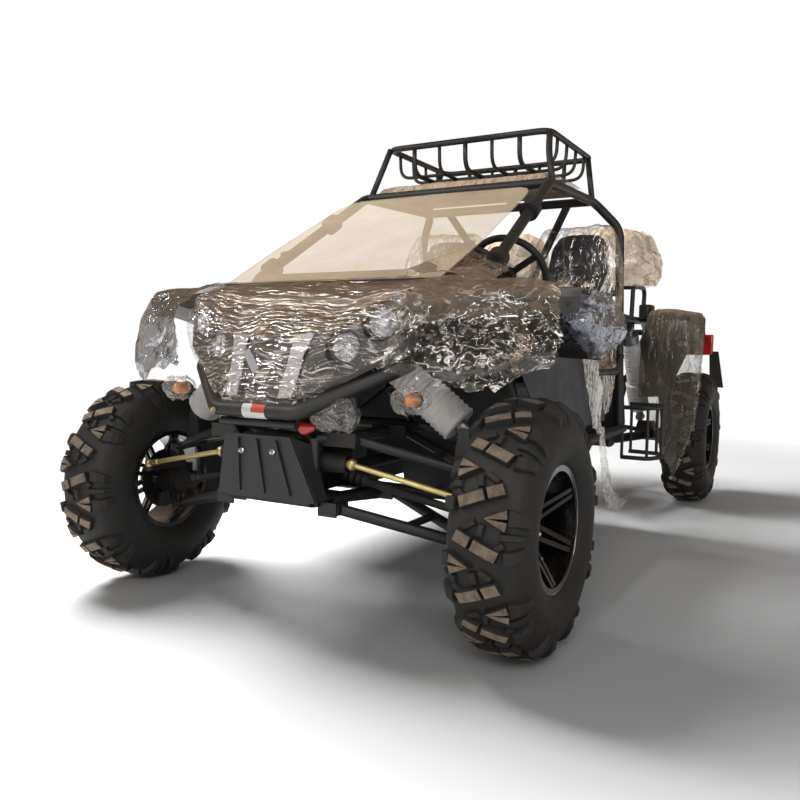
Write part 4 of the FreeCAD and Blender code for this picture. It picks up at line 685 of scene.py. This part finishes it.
def rear_fender_film(hand, side, seed):
    """Film over a rear fender's front face with fine folds, and a pulled corner hanging before the wheel."""
    rows = [
        [(548, 2319, 640), (556, 2312, 800), (562, 2310, 960), (588, 2345, 1088), (588, 2480, 1110)],
        [(626, 2312, 462), (638, 2308, 740), (650, 2306, 950), (680, 2345, 1096), (680, 2480, 1114)],
        [(698, 2308, 292), (716, 2304, 640), (740, 2308, 930), (760, 2350, 1090), (758, 2480, 1104)],
        [(742, 2304, 212), (800, 2300, 540), (826, 2308, 880), (830, 2362, 1072), (828, 2480, 1090)],
        [(764, 2300, 204), (850, 2298, 460), (886, 2306, 760), (876, 2368, 1020), (852, 2480, 1076)],
    ]
    node = f"rear_fender_{hand}"
    film(f"rear_film_{hand}", film_drape, (node,), sided(rows, side, -side), (70, 120),
         [(0.006, 0.03, (1, 6)), (0.004, 0.06, (1, 3))], slack=1.1, torn=(0.03, 0, 0.03, 0), seed=seed)
    corner = ((742, 2300, 200), (764, 2298, 206), (850, 2296, 460), (884, 2300, 740), (874, 2340, 960))
    rows = [[(x + out, station - 6, z) for x, station, z in corner] for out in (-14, -5, 4)]
    film(f"rear_hem_{hand}", film_hung, (node,), sided(rows, side, -side), (8, 90),
         [(0.006, 0.012, (1, 3))], slack=1.2, held="hung", lies_on=(f"rear_film_{hand}",),
         reach=0.002, torn=(0.1, 0.2, 0, 0), seed=seed + 1)


def flap_film():
    """Layers of film over the rear end of the left front fender, pulled down to ragged corners."""
    rows = [
        [(806, 20, 1098), (752, 215, 1047), (706, 340, 984), (662, 470, 908)],
        [(838, 160, 1098), (804, 325, 1042), (792, 355, 966), (746, 505, 884)],
        [(836, 440, 1090), (842, 500, 1022), (834, 515, 942), (800, 570, 868)],
        [(800, 790, 1064), (832, 800, 990), (816, 800, 938), (784, 780, 908)],
    ]
    film("flap_film", film_double, ("front_fender_left",), rows, (60, 50),
         [(0.012, 0.03, (3, 1)), (0.01, 0.05, (1, 1))], slack=1.15, clearance=0.008, torn=(0.2, 0, 0, 0.16),
         seed=47)


def side_film():
    """Film from the fender down over the left side panel's rear edge, pulled into long upright folds."""
    rows = [
        [(828, 180, 1060), (700, 600, 1010), (648, 830, 905),
         (632, 960, 790), (628, 1040, 690), (626, 1120, 560)],
        [(800, 320, 1040), (690, 720, 1012), (650, 930, 930),
         (634, 1060, 800), (630, 1150, 670), (628, 1200, 530)],
        [(760, 430, 1015), (680, 830, 1000), (652, 1060, 935),
         (642, 1170, 800), (640, 1240, 660), (632, 1250, 520)],
    ]
    film("side_film", film_hung, ("side_panels", "front_fender_left"), rows, (34, 120),
         [(0.012, 0.03, (1, 4)), (0.008, 0.05, (1, 1))], slack=1.12, torn=(0.1, 0.2, 0.02, 0.03), seed=41)


def hanging_film():
    """The torn strip of film that hangs from the sill and curls out at its foot."""
    rows = [
        [(640, 1180, 560), (646, 1190, 420), (652, 1215, 300),
         (654, 1290, 200), (656, 1420, 150), (664, 1560, 160)],
        [(644, 1215, 560), (652, 1235, 420), (658, 1275, 300),
         (662, 1360, 215), (668, 1480, 175), (672, 1600, 185)],
        [(640, 1250, 560), (650, 1285, 420), (660, 1330, 310),
         (664, 1420, 240), (670, 1530, 205), (674, 1640, 205)],
    ]
    film("hanging_film", film_hung, ("side_panels",), rows, (16, 110),
         [(0.012, 0.03, (1, 3)), (0.006, 0.02, (1, 1))], slack=1.15, held="hung", lies_on=("side_film",),
         reach=0.01, torn=(0.2, 0.2, 0, 0.05), seed=43)


def bundle(name, centre, radii, finish, seed, rests_on):
    """A loose wrap of film round a small piece."""
    rows = []
    for rise in (-70, -40, 0, 40, 70):
        level = math.radians(rise)
        rows.append([(centre[0] + radii[0] * math.cos(level) * math.cos(turn),
                      centre[1] + radii[1] * math.cos(level) * math.sin(turn),
                      centre[2] + radii[2] * math.sin(level))
                     for turn in np.radians(np.arange(0, 361, 45))])
    deep = 0.32 * min(radii) / 1000
    film(name, finish, rests_on, rows, (30, 60), [(deep * 2, deep * 2, (1, 1)), (deep, deep, (1, 1))],
         slack=1.5, reach=0.004, seed=seed)


def roof_film():
    """Dusty film stretched over the roof and turned under its front edge."""
    rows = [[(x, 1600, 1664 - drop), (x, 1400, 1666 - drop), (x, 1220, 1662 - drop), (x, 1120, 1646 - drop),
             (x, 1078, 1612 - drop), (x, 1066, 1584 - drop)]
            for x, drop in ((-424, 16), (-380, 2), (-190, 0), (0, 0), (190, 0), (380, 2), (424, 16))]
    film("roof_film", film_roof, ("roof_panel",), rows, (110, 60),
         [(0.008, 0.05, (3, 1)), (0.004, 0.02, (1, 1))], reach=0.03, seed=61)


def cowl_film():
    """Loose film pushed into the corner between the hood, the dashboard and the left pillar."""
    rows = [[(x, 440, 1222 - drop), (x, 340, 1206 - drop), (x, 220, 1172 - drop), (x, 120, 1140 - drop),
             (x, 60, 1112 - drop)] for x, drop in ((270, 10), (350, 0), (430, 0), (500, 14), (560, 50))]
    film("cowl_film", film_loose, ("hood", "dashboard"), rows, (46, 60),
         [(0.03, 0.06, (1, 1)), (0.01, 0.03, (1, 1))], slack=1.3, lies_on=("hood",), reach=0.02,
         torn=(0.1, 0.1, 0.1, 0), seed=63)


def nose_hem():
    """The film's gathered edge along the foot of the face."""
    rows = [[(x, -300 + abs(x) * 0.12, z) for x in (-182, -90, 0, 90, 182)] for z in (712, 726, 742)]
    film("nose_hem", film_wrap, ("nose_mask", "nose_strips"), rows, (10, 110),
         [(0.006, 0.012, (1, 2))], slack=1.2, lies_on=("nose_mask",), reach=0.04, clearance=0.007,
         torn=(0.2, 0.3, 0, 0), seed=65)


# Turned pieces

def turned(name, finish, start, end, profile, segments=48, ripple=0.0, seed=0, sharp=False):
    """A piece turned about the line from start to end; its profile is (distance along, radius) in mm."""
    foot, axis = at(*start), (at(*end) - at(*start)).normalized()
    side = axis.orthogonal().normalized()
    other = axis.cross(side)
    rng = np.random.default_rng(seed)
    bm = bmesh.new()
    rings = []
    for along, radius in profile:
        wave = rng.uniform(-ripple, ripple, segments)
        wave = (np.roll(wave, 1) + wave + np.roll(wave, -1)) / 3
        ring = []
        for index in range(segments):
            turn = 2 * math.pi * index / segments
            way = side * math.cos(turn) + other * math.sin(turn)
            ring.append(bm.verts.new(foot + axis * along / 1000 + way * (radius + wave[index]) / 1000))
        rings.append(ring)
    for lower, upper in zip(rings, rings[1:]):
        bridge(bm, lower, upper)
    bmesh.ops.recalc_face_normals(bm, faces=bm.faces)
    for face in bm.faces:
        face.smooth = not sharp
    return new_object(name, bm, finish)


COIL_PITCH = 19


def sleeve_profile(low, high, step, thick, thin, ridge):
    """Foam tube in two lengths, the lower one thicker, ringed by the turns of the spring inside."""
    points = [(low, 24), (low, thick - 6), (low + 4, thick)]
    along = low + 4
    while along < high - 6:
        along += 4
        radius = thick if along < step else thin
        pinch = 5 if abs(along - step) < 6 else 0
        points.append((along, radius + ridge * math.sin(along / COIL_PITCH * 2 * math.pi) - pinch))
    return points + [(high, thin - 5), (high, 24)]


def sleeves():
    """Foam sleeves round the springs of all four shock absorbers."""
    for side, hand in HANDS:
        front = turned(f"front_sleeve_{hand}", foam_white, (side * 560, 28, 640), (side * 240, -15, 904),
                       sleeve_profile(34, 328, 190, 62, 52, 2.6), ripple=1.6, seed=5)
        rear = turned(f"rear_sleeve_{hand}", foam_white, (side * 512, 2556, 497), (side * 498, 2270, 1012),
                      sleeve_profile(62, 497, 240, 56, 47, 1.6), ripple=2.0, seed=6)
        for piece in (front, rear):
            fitted(piece, "chassis", "foam", "shock_sleeves")


def headlights():
    """Round lamps: dark bezel, faceted bright bowl, bulb shield and a domed clear lens."""
    parts = (
        ("bezel", moulded_dark, 48, False,
         [(-30, 50), (-30, 56), (6, 56), (12, 54), (14, 50), (10, 46), (2, 44), (-24, 43)]),
        ("bowl", chrome, 20, True, [(-26, 2), (-26, 12), (-24, 20), (-18, 30), (-8, 39), (2, 44)]),
        ("shield", chrome, 24, False, [(-26, 9), (-8, 11), (-6, 16), (-4, 16), (-1, 10), (0, 0.5)]),
        ("lens", lamp_clear, 48, False, [(4, 46), (8, 42), (12, 32), (14.5, 18), (15.5, 0.5)]),
    )
    for place, x, station, z in (("outer", 356, -150, 975), ("inner", 252, -190, 900)):
        for side, hand in HANDS:
            start, end = (side * x, station, z), (side * (x + 12), station - 60, z + 4)
            for part, finish, segments, sharp, profile in parts:
                piece = turned(f"{place}_{part}_{hand}", finish, start, end, profile, segments, sharp=sharp)
                fitted(piece, "chassis", "lamp_clear", "headlights")


def turn_signals():
    """Amber lamps on dark stems, each wrapped in film."""
    z = 747
    for side, hand in HANDS:
        x = side * 464
        lens = turned(f"signal_lens_{hand}", amber_lens, (x, -132, z), (x, -250, z),
                      [(0, 0.5), (0, 17), (8, 21), (26, 22), (44, 20), (56, 14), (62, 0.5)])
        body = turned(f"signal_body_{hand}", rubber_plain, (x, -132, z), (x, -60, z),
                      [(0, 24), (4, 22), (20, 12), (26, 9), (26, 0.5)])
        fitted(lens, "chassis", "lamp_amber", "turn_signals")
        fitted(body, "chassis", "black_rubber", "turn_signals")
        bundle(f"signal_film_{hand}", (x, -166, z), (46, 42, 24), film_wrap, 50 + side, ("turn_signals",))


def rack_boots():
    """Ribbed rubber boots at the ends of the steering rack, wide enough for the rod's ball to run inside."""
    station, z = -173, 540
    profile = [(0, 30)]
    for fold in range(9):
        profile += [(5 + 10 * fold, 32 - fold * 0.5), (10 + 10 * fold, 25 - fold * 0.3)]
    profile += [(96, 26), (100, 24)]
    for side, hand in HANDS:
        boot = turned(f"rack_boot_{hand}", rubber_plain, (side * 150, station, z), (side * 250, station, z),
                      profile, segments=36)
        fitted(boot, "chassis", "black_rubber")


def nose_strips():
    """Silver strips down the face, wider at their bent upper ends, with a blank plate between them."""
    for side, hand in HANDS:
        rows = [[(79, -300, 742), (84, -275, 800), (90, -240, 880), (88, -222, 932)],
                [(128, -296, 742), (134, -272, 800), (142, -238, 880), (158, -214, 934)]]
        strip_piece = laid_film(f"face_strip_{hand}", trim_silver, ("nose_mask",), sided(rows, side, -side),
                                (8, 40), [], clearance=0.005, relax=30)
        thickened(strip_piece, 4)
        fitted(strip_piece, "chassis", "silver_trim", "nose_strips")
    rows = [[(-26, -290, 816), (-4, -290, 832)], [(-90, -262, 876), (-66, -262, 892)]]
    badge = laid_film("blank_badge", trim_silver, ("nose_mask",), rows, (14, 8), [], clearance=0.006,
                      relax=10)
    thickened(badge, 4)
    fitted(badge, "chassis", "silver_trim")


def rounded_path(points, bend, steps=6):
    """The points of a bent tube's centre line, its corners rounded."""
    points = [at(*point) for point in points]
    path = [points[0]]
    for before, corner, after in zip(points, points[1:], points[2:]):
        reach = min(bend / 1000, (before - corner).length * 0.48, (after - corner).length * 0.48)
        start = corner + (before - corner).normalized() * reach
        end = corner + (after - corner).normalized() * reach
        for step in range(steps + 1):
            share = step / steps
            path.append(start.lerp(corner, share).lerp(corner.lerp(end, share), share))
    return path + [points[-1]]


def add_tube(bm, points, diameter, bend, sides=12):
    """Adds a round bent tube to a mesh."""
    path = rounded_path(points, bend)
    across = (path[1] - path[0]).orthogonal().normalized()
    rings = []
    for index, point in enumerate(path):
        along = (path[min(index + 1, len(path) - 1)] - path[max(index - 1, 0)]).normalized()
        across = (across - along * across.dot(along)).normalized()
        other = along.cross(across)
        ways = [across * math.cos(turn) + other * math.sin(turn)
                for turn in np.linspace(0, 2 * math.pi, sides, endpoint=False)]
        rings.append([bm.verts.new(point + way * diameter / 2000) for way in ways])
    for lower, upper in zip(rings, rings[1:]):
        for face in bridge(bm, lower, upper):
            face.smooth = True
    for ring in (rings[0], rings[-1]):
        bm.faces.new(ring)


def rack():
    """Open basket: top rail, bars whose round corners run on into the floor, floor rails and four legs."""
    half, front, rear, top, floor = 402, 1155, 1780, RACK_TOP, 1712
    tube, corner, foot_x = 28, 78, 450
    bm = bmesh.new()
    rail = [(0, front, top), (half, front, top), (half, rear, top), (0, rear, top)]
    for points in (rail, [(-x, station, z) for x, station, z in rail]):
        add_tube(bm, points, tube, 60)
    for number, x in enumerate((-264, -132, 0, 132, 264)):
        bar = [(x, front, top), (x, front + 6, floor), (x, rear - 6, floor), (x, rear, top)]
        add_tube(bm, bar, 17 if number % 2 else 22, corner, sides=10)
    for station in (1262, 1395, 1528, 1660):
        bar = [(-half, station, top), (6 - half, station, floor + 10), (half - 6, station, floor + 10),
               (half, station, top)]
        add_tube(bm, bar, 16, corner, sides=10)
    for station in (1330, 1700):
        add_tube(bm, [(-318, station, floor - 18), (318, station, floor - 18)], 26, 0)
    for side in (-1, 1):
        add_tube(bm, [(side * (half - 2), front + 8, top), (side * (half + 12), front - 40, 1740),
                      (side * foot_x, 1070, 1600)], tube, 120)
        add_tube(bm, [(side * half, rear - 60, top), (side * foot_x, 1652, 1618)], tube, 0)
    bmesh.ops.recalc_face_normals(bm, faces=bm.faces)
    fitted(new_object("rack_basket", bm, powder_black), "chassis", "black_frame", "roof_rack")


def flat_piece(name, finish, outline, thickness, slot, *nodes_replaced):
    """A flat plate on the chassis from its outline of (x, station, z) points, thickened both ways."""
    mesh = bpy.data.meshes.new(name)
    mesh.from_pydata([tuple(at(*point)) for point in outline], [], [tuple(range(len(outline)))])
    piece = new_object(name, mesh, finish)
    thickened(piece, thickness, both_ways=True)
    fitted(piece, "chassis", slot, *nodes_replaced)


def windscreen():
    """Dusty clear sheet with round upper corners and a rubber strip along its foot."""
    foot_station, foot_z, back, rise = 44, 1117, 954, 494
    outline = []
    for half, share in (
            (442, 0.0), (458, 0.3), (448, 0.74), (440, 0.81), (418, 0.855), (380, 0.875), (0, 0.885)):
        outline.append((half, foot_station + back * share, foot_z + rise * share))
    outline += [(-x, station, z) for x, station, z in outline[-2::-1]]
    flat_piece("windscreen_sheet", windscreen_sheet, outline, 4, "clear_sheet", "windscreen")
    foot = turned("windscreen_strip", rubber_plain, (-440, foot_station, foot_z + 1),
                  (440, foot_station, foot_z + 1), [(0, 0.5), (0, 5), (880, 5), (880, 0.5)], segments=12)
    fitted(foot, "chassis", "black_rubber")


def bumper_label():
    """Blank two-tone label round the bumper tube, in patches between two x and two angles about the tube."""
    station, z, radius = -312, 703, 24.7
    for name, finish, low, high, first, last in (
            ("label_left", label_white, -36, 0, -80, 60), ("label_top", label_red, 0, 52, -10, 60),
            ("label_foot", label_white, 0, 52, -80, -10)):
        bm = bmesh.new()
        bow = [(station - radius * math.cos(turn), z + radius * math.sin(turn))
               for turn in np.radians(np.arange(first, last + 1, 10))]
        near, far = [[bm.verts.new(at(x, *point)) for point in bow] for x in (low, high)]
        for index in range(len(bow) - 1):
            bm.faces.new((near[index], far[index], far[index + 1], near[index + 1]))
        fitted(new_object(name, bm, finish), "chassis", "silver_trim")


def front_bay():
    """What hangs in the front bay: a red lens wrapped in film, and the bolt heads of plate and bumper."""
    lens = [(104, -262, 672), (124, -266, 676), (190, -262, 662), (184, -262, 646), (152, -262, 632),
            (136, -262, 634)]
    flat_piece("spare_lens", red_lens, lens, 16, "lamp_red")
    bundle("bay_film", (236, -226, 700), (70, 30, 44), film_wrap, 71, ("bull_bar", "chassis_front"))
    for name, finish, place, radius in (
            ("plate_bolt_right", chrome, (-67, -300, 573), 10),
            ("plate_bolt_left", chrome, (56, -300, 577), 10),
            ("bumper_bolt", zinc_gold, (-150, -336, 698), 9)):
        x, station, z = place
        bolt = turned(name, finish, place, (x, station - 20, z + 4),
                      [(-4, 0.5), (-4, radius), (2, radius),
                       (2, radius * 0.7), (9, radius * 0.66), (10, 0.5)],
                      segments=18, sharp=True)
        fitted(bolt, "chassis", "machined_steel")


def bulkhead_label():
    """The small blank yellow label behind the cabin."""
    corners = ((486, 676), (488, 726), (554, 738), (562, 700), (530, 690), (524, 664))
    flat_piece("bulkhead_label", label_yellow, [(x, 1830, z) for x, z in corners], 1.2, "silver_trim")


def wheel_details():
    """Bright nuts on each wheel, and a thin bright line at the rim's lip."""
    nut_profile = [(0, 0.5), (0, 13), (14, 11), (22, 9), (25, 5), (26, 0.5)]
    lip_profile = [(-1.5, 188.6), (0.6, 188.6), (0.6, 186.6), (-1.5, 186.6)]
    face, circle, lip = 778, 40, 865
    for end, middle in AXLES:
        for side, hand in HANDS:
            parts = []
            for number in range(4):
                turn = math.radians(45 + 90 * number)
                station, z = middle + circle * math.sin(turn), TYRE_RADIUS + circle * math.cos(turn)
                start, end_point = (side * face, station, z), (side * (face + 40), station, z)
                parts.append(turned("nut", chrome, start, end_point, nut_profile, segments=12, sharp=True))
            parts.append(turned("lip", chrome, (side * lip, middle, TYRE_RADIUS),
                                (side * (lip + 15), middle, TYRE_RADIUS), lip_profile, segments=96))
            bright = joined(f"wheel_bright_{end}_{hand}", parts, chrome)
            fitted(bright, f"wheel_{end}_{hand}", "machined_steel")
            for part in parts:
                bpy.data.objects.remove(part)


# Seats

SEAT_X = 366
# Heights up the backrest, and half its width at each.
BACK_WIDTHS = ([0, 200, 400, 520, 600, 700, 780, 830, 855], [196, 202, 202, 194, 178, 164, 150, 120, 76])
BACK_LOW, BACK_RISE = 8, 835
RECLINE = math.radians(13)
CLOTH_FRAMES = 20


def smooth_step(value, low, high):
    """Rises smoothly from 0 at low to 1 at high."""
    share = np.clip((value - low) / (high - low), 0, 1)
    return share * share * (3 - 2 * share)


def closed_pad(name, front, back, columns, rows, is_open, finish):
    """A closed pad between two surfaces, each a function of s from -1 to 1 across and t from 0 to 1 along,
    with holes right through where is_open says so."""
    mesh = bmesh.new()
    sides = []
    for surface in (front, back):
        grid = [[mesh.verts.new(surface(i / columns * 2 - 1, j / rows)) for j in range(rows + 1)]
                for i in range(columns + 1)]
        sides.append(grid)
    near, far = sides

    def solid(i, j):
        """Whether the pad has a cell there."""
        inside = 0 <= i < columns and 0 <= j < rows
        return inside and not is_open((i + 0.5) / columns * 2 - 1, (j + 0.5) / rows)

    for i in range(columns):
        for j in range(rows):
            if not solid(i, j):
                continue
            corners = ((i, j), (i + 1, j), (i + 1, j + 1), (i, j + 1))
            mesh.faces.new([near[a][b] for a, b in corners])
            mesh.faces.new([far[a][b] for a, b in reversed(corners)])
            beside = ((i, j - 1), (i + 1, j), (i, j + 1), (i - 1, j))
            for (a, b), (c, d), beyond in zip(corners, corners[1:] + corners[:1], beside):
                if not solid(*beyond):
                    mesh.faces.new((near[a][b], far[a][b], far[c][d], near[c][d]))
    bmesh.ops.delete(mesh, geom=[vertex for vertex in mesh.verts if not vertex.link_faces], context="VERTS")
    bmesh.ops.recalc_face_normals(mesh, faces=mesh.faces)
    return new_object(name, mesh, finish)


def plumped(piece, voxel=0.007, cap=0.010, pressure=4.0):
    """Fills a pad: remeshed evenly, blown up as cloth, with each point's way capped, then smoothed."""
    remesh = piece.modifiers.new("even", "REMESH")
    remesh.mode = "VOXEL"
    remesh.voxel_size = voxel
    applied(piece)
    before = np.array([vertex.co for vertex in piece.data.vertices])
    cloth = piece.modifiers.new("fill", "CLOTH")
    cloth.settings.use_pressure = True
    cloth.settings.uniform_pressure_force = pressure
    cloth.settings.effector_weights.gravity = 0
    for number in range(1, CLOTH_FRAMES + 1):
        bpy.context.scene.frame_set(number)
    applied(piece)
    after = np.array([vertex.co for vertex in piece.data.vertices])
    way = after - before
    length = np.linalg.norm(way, axis=1)[:, None] + 1e-9
    moved = before + way * np.minimum(1, cap / length)
    piece.data.vertices.foreach_set("co", moved.reshape(-1).astype(np.float32))
    bpy.context.scene.frame_set(1)
    smooth = piece.modifiers.new("smooth", "SMOOTH")
    smooth.iterations = 3
    applied(piece)
    for polygon in piece.data.polygons:
        polygon.use_smooth = True


def back_point(s, height, depth):
    """A point of the backrest in mm: share s of its half width, height up its slope, depth behind its face.
    It starts at station 1512 and z 660."""
    half = np.interp(height, *BACK_WIDTHS)
    station = 1512 + height * math.sin(RECLINE) + depth * math.cos(RECLINE)
    z = 660 + height * math.cos(RECLINE) - depth * math.sin(RECLINE)
    return SEAT_X + s * half, station, z


def back_front(s, t):
    """The backrest's face: side wings, a hollow between them, a lumbar swell and a head part."""
    height = BACK_LOW + BACK_RISE * t
    wing = smooth_step(abs(s), 0.5, 0.86) * (1 - smooth_step(height, 560, 660))
    head = smooth_step(height, 600, 690) * (1 - smooth_step(abs(s), 0.3, 1.0)) * 22
    lumbar = 14 * math.exp(-((height - 170) / 110) ** 2) * (1 - s * s)
    edge = smooth_step(abs(s), 0.9, 1.0) * 26
    return at(*back_point(s, height, 44 - 36 * wing - head - lumbar + edge))


def back_rear(s, t):
    """The backrest's rear face, rounded toward its sides."""
    edge = smooth_step(abs(s), 0.7, 1.0) * 26
    return at(*back_point(s, BACK_LOW + BACK_RISE * t, 98 - edge))


def harness_slots(s, t):
    """The two harness openings beside the column under the head part."""
    return 0.22 < abs(s) < 0.62 and 0.655 < t + abs(s) * 0.05 < 0.735


def cushion_top(s, t):
    """The cushion's top: raised sides and a rounded front edge."""
    station = 1188 + 400 * t
    side = smooth_step(abs(s), 0.55, 0.86) * 34
    nose = 20 * (1 - smooth_step(t, 0.0, 0.16))
    edge = smooth_step(abs(s), 0.92, 1.0) * 26
    return at(SEAT_X + s * 196, station, 706 + side - 24 * t - nose - edge)


def cushion_base(s, t):
    """The cushion's flat underside."""
    return at(SEAT_X + s * 190, 1196 + 400 * t, 628)


def no_hole(s, t):
    """Nowhere open: the cushion is whole."""
    return False


def seats():
    """Two bucket seats with wings, a head part and harness openings; the right one mirrors the left one."""
    parts = [
        closed_pad("back", back_front, back_rear, 40, 84, harness_slots, seat_vinyl),
        closed_pad("cushion", cushion_top, cushion_base, 36, 36, no_hole, seat_vinyl),
    ]
    for part in parts:
        plumped(part)
    for side, hand in HANDS:
        piece = joined(f"seat_pad_{hand}", parts, seat_vinyl, mirror=side < 0)
        fitted(piece, "chassis", "seat_cloth", f"seat_{hand}")
    for part in parts:
        bpy.data.objects.remove(part)


def seat_bag(hand, side, seed):
    """Clear bag pulled over a seat from above, tight on its head and loose round its cushion."""
    levels = [
        (560, 1140, 1150, 1250, 1500, 222), (660, 1135, 1150, 1250, 1560, 230),
        (780, 1150, 1165, 1280, 1600, 232), (860, 1400, 1410, 1470, 1640, 230),
        (960, 1520, 1530, 1570, 1680, 226), (1100, 1570, 1575, 1610, 1720, 224),
        (1240, 1606, 1608, 1640, 1750, 222), (1360, 1634, 1636, 1664, 1772, 206),
        (1440, 1658, 1662, 1690, 1790, 184), (1486, 1690, 1694, 1710, 1790, 160),
    ]
    rows = []
    for z, middle, front, edge, rear, half in levels:
        rows.append([(-half * 0.96, rear, z), (-half, edge, z), (-half * 0.72, front, z), (0, middle, z),
                     (half * 0.72, front, z), (half, edge, z), (half * 0.96, rear, z)])
    rows.append([(x, 1750, 1496) for x in (-120, -100, -50, 0, 50, 100, 120)])
    rows = [[(side * SEAT_X + x, station, z) for x, station, z in row] for row in rows]
    film(f"seat_bag_{hand}", film_hung, (f"seat_{hand}",), rows, (100, 90),
         [(0.016, 0.11, (2.2, 1)), (0.006, 0.04, (2.4, 1))], slack=1.12, torn=(0.05, 0, 0, 0), seed=seed)


def dust_bag(name, low_x, high_x, seed):
    """Beige bag standing on the hoops over the engine bay, behind a seat."""
    middle, half, station = (low_x + high_x) / 2, (high_x - low_x) / 2, 2440
    rows = []
    for z, depth, width in (
            (1262, 130, 0.94), (1330, 160, 1.05), (1420, 140, 1.02), (1500, 100, 0.92), (1548, 40, 0.7)):
        turns = [math.radians(angle) for angle in range(0, 361, 45)]
        rows.append([(middle + half * width * math.cos(turn), station + depth * math.sin(turn), z)
                     for turn in turns])
    film(name, film_beige, ("rear_guard",), rows, (44, 100),
         [(0.045, 0.13, (1, 1)), (0.012, 0.045, (1, 1))], slack=1.15, reach=0.01, seed=seed)


# Camera, floor and light

def camera():
    """The camera where the photograph was taken from, found by fitting the wheels and the straight tubes: its
    place in m and its angles in radians, with a focal length of 790 pixels in a picture of 800."""
    place, yaw, pitch, roll = (1.5804, -3.5969, 0.9167), 0.5177, 0.0729, 0.0127
    focal, picture, sensor = 790.32, 800, 36
    ahead = Vector((-math.sin(yaw) * math.cos(pitch), math.cos(yaw) * math.cos(pitch), -math.sin(pitch)))
    right = ahead.cross(Vector((0, 0, 1))).normalized()
    up = right.cross(ahead)
    right_rolled = right * math.cos(roll) + up * math.sin(roll)
    up_rolled = up * math.cos(roll) - right * math.sin(roll)
    data = bpy.data.cameras.new("camera")
    data.lens = focal / picture * sensor
    data.sensor_width = sensor
    data.clip_end = 100
    obj = bpy.data.objects.new("camera", data)
    axes = Matrix((right_rolled, up_rolled, -ahead)).transposed()
    obj.matrix_world = Matrix.Translation(place) @ axes.to_4x4()
    bpy.context.scene.collection.objects.link(obj)
    bpy.context.scene.camera = obj


def softbox(name, location, target, width, height, power, mirrored=True, lights=True):
    """A rectangular lamp at a place in m, turned to a target; a glint strip lights no matt surface."""
    data = bpy.data.lights.new(name, "AREA")
    data.shape = "RECTANGLE"
    data.size = width
    data.size_y = height
    data.energy = power
    obj = bpy.data.objects.new(name, data)
    obj.location = location
    obj.visible_glossy = mirrored
    obj.visible_diffuse = lights
    obj.rotation_euler = (Vector(target) - Vector(location)).to_track_quat("-Z", "Y").to_euler()
    bpy.context.scene.collection.objects.link(obj)


def studio_floor():
    """A pale floor that runs out to white round the buggy."""
    size = 30
    mesh = bpy.data.meshes.new("floor")
    corners = [(-size, -size, 0), (size, -size, 0), (size, size, 0), (-size, size, 0)]
    mesh.from_pydata(corners, [], [(0, 1, 2, 3)])
    material, tree, shader, place = new_material("studio floor, matt white")
    new_object("floor", mesh, material)
    shader.inputs["Base Color"].default_value = linear("#fafafa")
    shader.inputs["Roughness"].default_value = 0.8
    away = add(tree, "Mapping", {"Vector": place, "Location": (-0.09, -0.04, 0), "Scale": (0.23, 0.17, 0.2)})
    distance = add(tree, "VectorMath", {0: away.outputs["Vector"]}, operation="LENGTH").outputs["Value"]
    share = add(tree, "ValToRGB", {"Fac": distance}, [(0.42, 0.0), (0.8, 1.0)]).outputs["Color"]
    bright = add(tree, "Emission", {"Color": grey(1.0), "Strength": 1.0}).outputs[0]
    both = add(tree, "MixShader", {"Fac": share, 1: shader.outputs[0], 2: bright}).outputs[0]
    output = next(item for item in tree.nodes if item.bl_idname == "ShaderNodeOutputMaterial")
    tree.links.new(both, output.inputs["Surface"])


def surround():
    """A white backdrop to the camera, warm in mirrored surfaces, and a low even fill on all others."""
    world = bpy.data.worlds.new("surround")
    bpy.context.scene.world = world
    world.use_nodes = True
    tree = world.node_tree
    tree.nodes.clear()
    rays = add(tree, "LightPath").outputs
    fill, warm, white = [
        add(tree, "Background", {"Color": colour, "Strength": strength}).outputs[0]
        for colour, strength in ((grey(1.0), 0.15), (linear("#cdb8a2"), 0.5), (grey(1.0), 1.0))]
    lit = add(tree, "MixShader", {"Fac": rays["Is Glossy Ray"], 1: fill, 2: warm}).outputs[0]
    seen = add(tree, "MixShader", {"Fac": rays["Is Camera Ray"], 1: lit, 2: white}).outputs[0]
    add(tree, "OutputWorld", {"Surface": seen})


def lamps():
    """A large key lamp from the right, a front lamp, and strips that only glint in film and paint."""
    softbox("key lamp", (-3.3, -0.2, 4.8), (0.3, -0.6, 0.2), 3.2, 3.2, 640, mirrored=False)
    softbox("brow strip", (-2.6, -3.8, 4.2), (0, -1.4, 1.0), 3.4, 0.2, 110, lights=False)
    softbox("front lamp", (2.6, -5.6, 3.4), (0, -0.8, 0.7), 2.6, 1.4, 40)
    softbox("left strip", (4.6, -2.6, 2.2), (0.5, -0.6, 0.7), 0.25, 2.6, 40, lights=False)
    softbox("front strip", (-0.6, -6.2, 2.0), (0, -1.2, 0.8), 0.25, 2.6, 46, lights=False)
    softbox("high strip", (1.8, -3.6, 4.2), (0.2, -0.8, 0.9), 3.0, 0.25, 50, lights=False)
    softbox("low strip", (3.6, -5.0, 1.1), (0.4, -1.0, 0.9), 2.0, 0.2, 26, lights=False)
    bpy.context.scene.view_settings.view_transform = "Standard"


tyres()
sleeves()
headlights()
turn_signals()
rack_boots()
nose_strips()
wheel_details()
windscreen()
rack()
bumper_label()
bulkhead_label()
front_bay()
nose_film()
nose_hem()
roof_film()
cowl_film()
hood_film()
fender_film("left", 1, film_loose, 7)
fender_film("right", -1, film_double, 9)
rear_fender_film("left", 1, 31)
rear_fender_film("right", -1, 33)
flap_film()
side_film()
hanging_film()
seats()
seat_bag("left", 1, 15)
seat_bag("right", -1, 16)
dust_bag("dust_bag_left", 30, 590, 21)
dust_bag("dust_bag_right", -570, -60, 23)
camera()
studio_floor()
surround()
lamps()
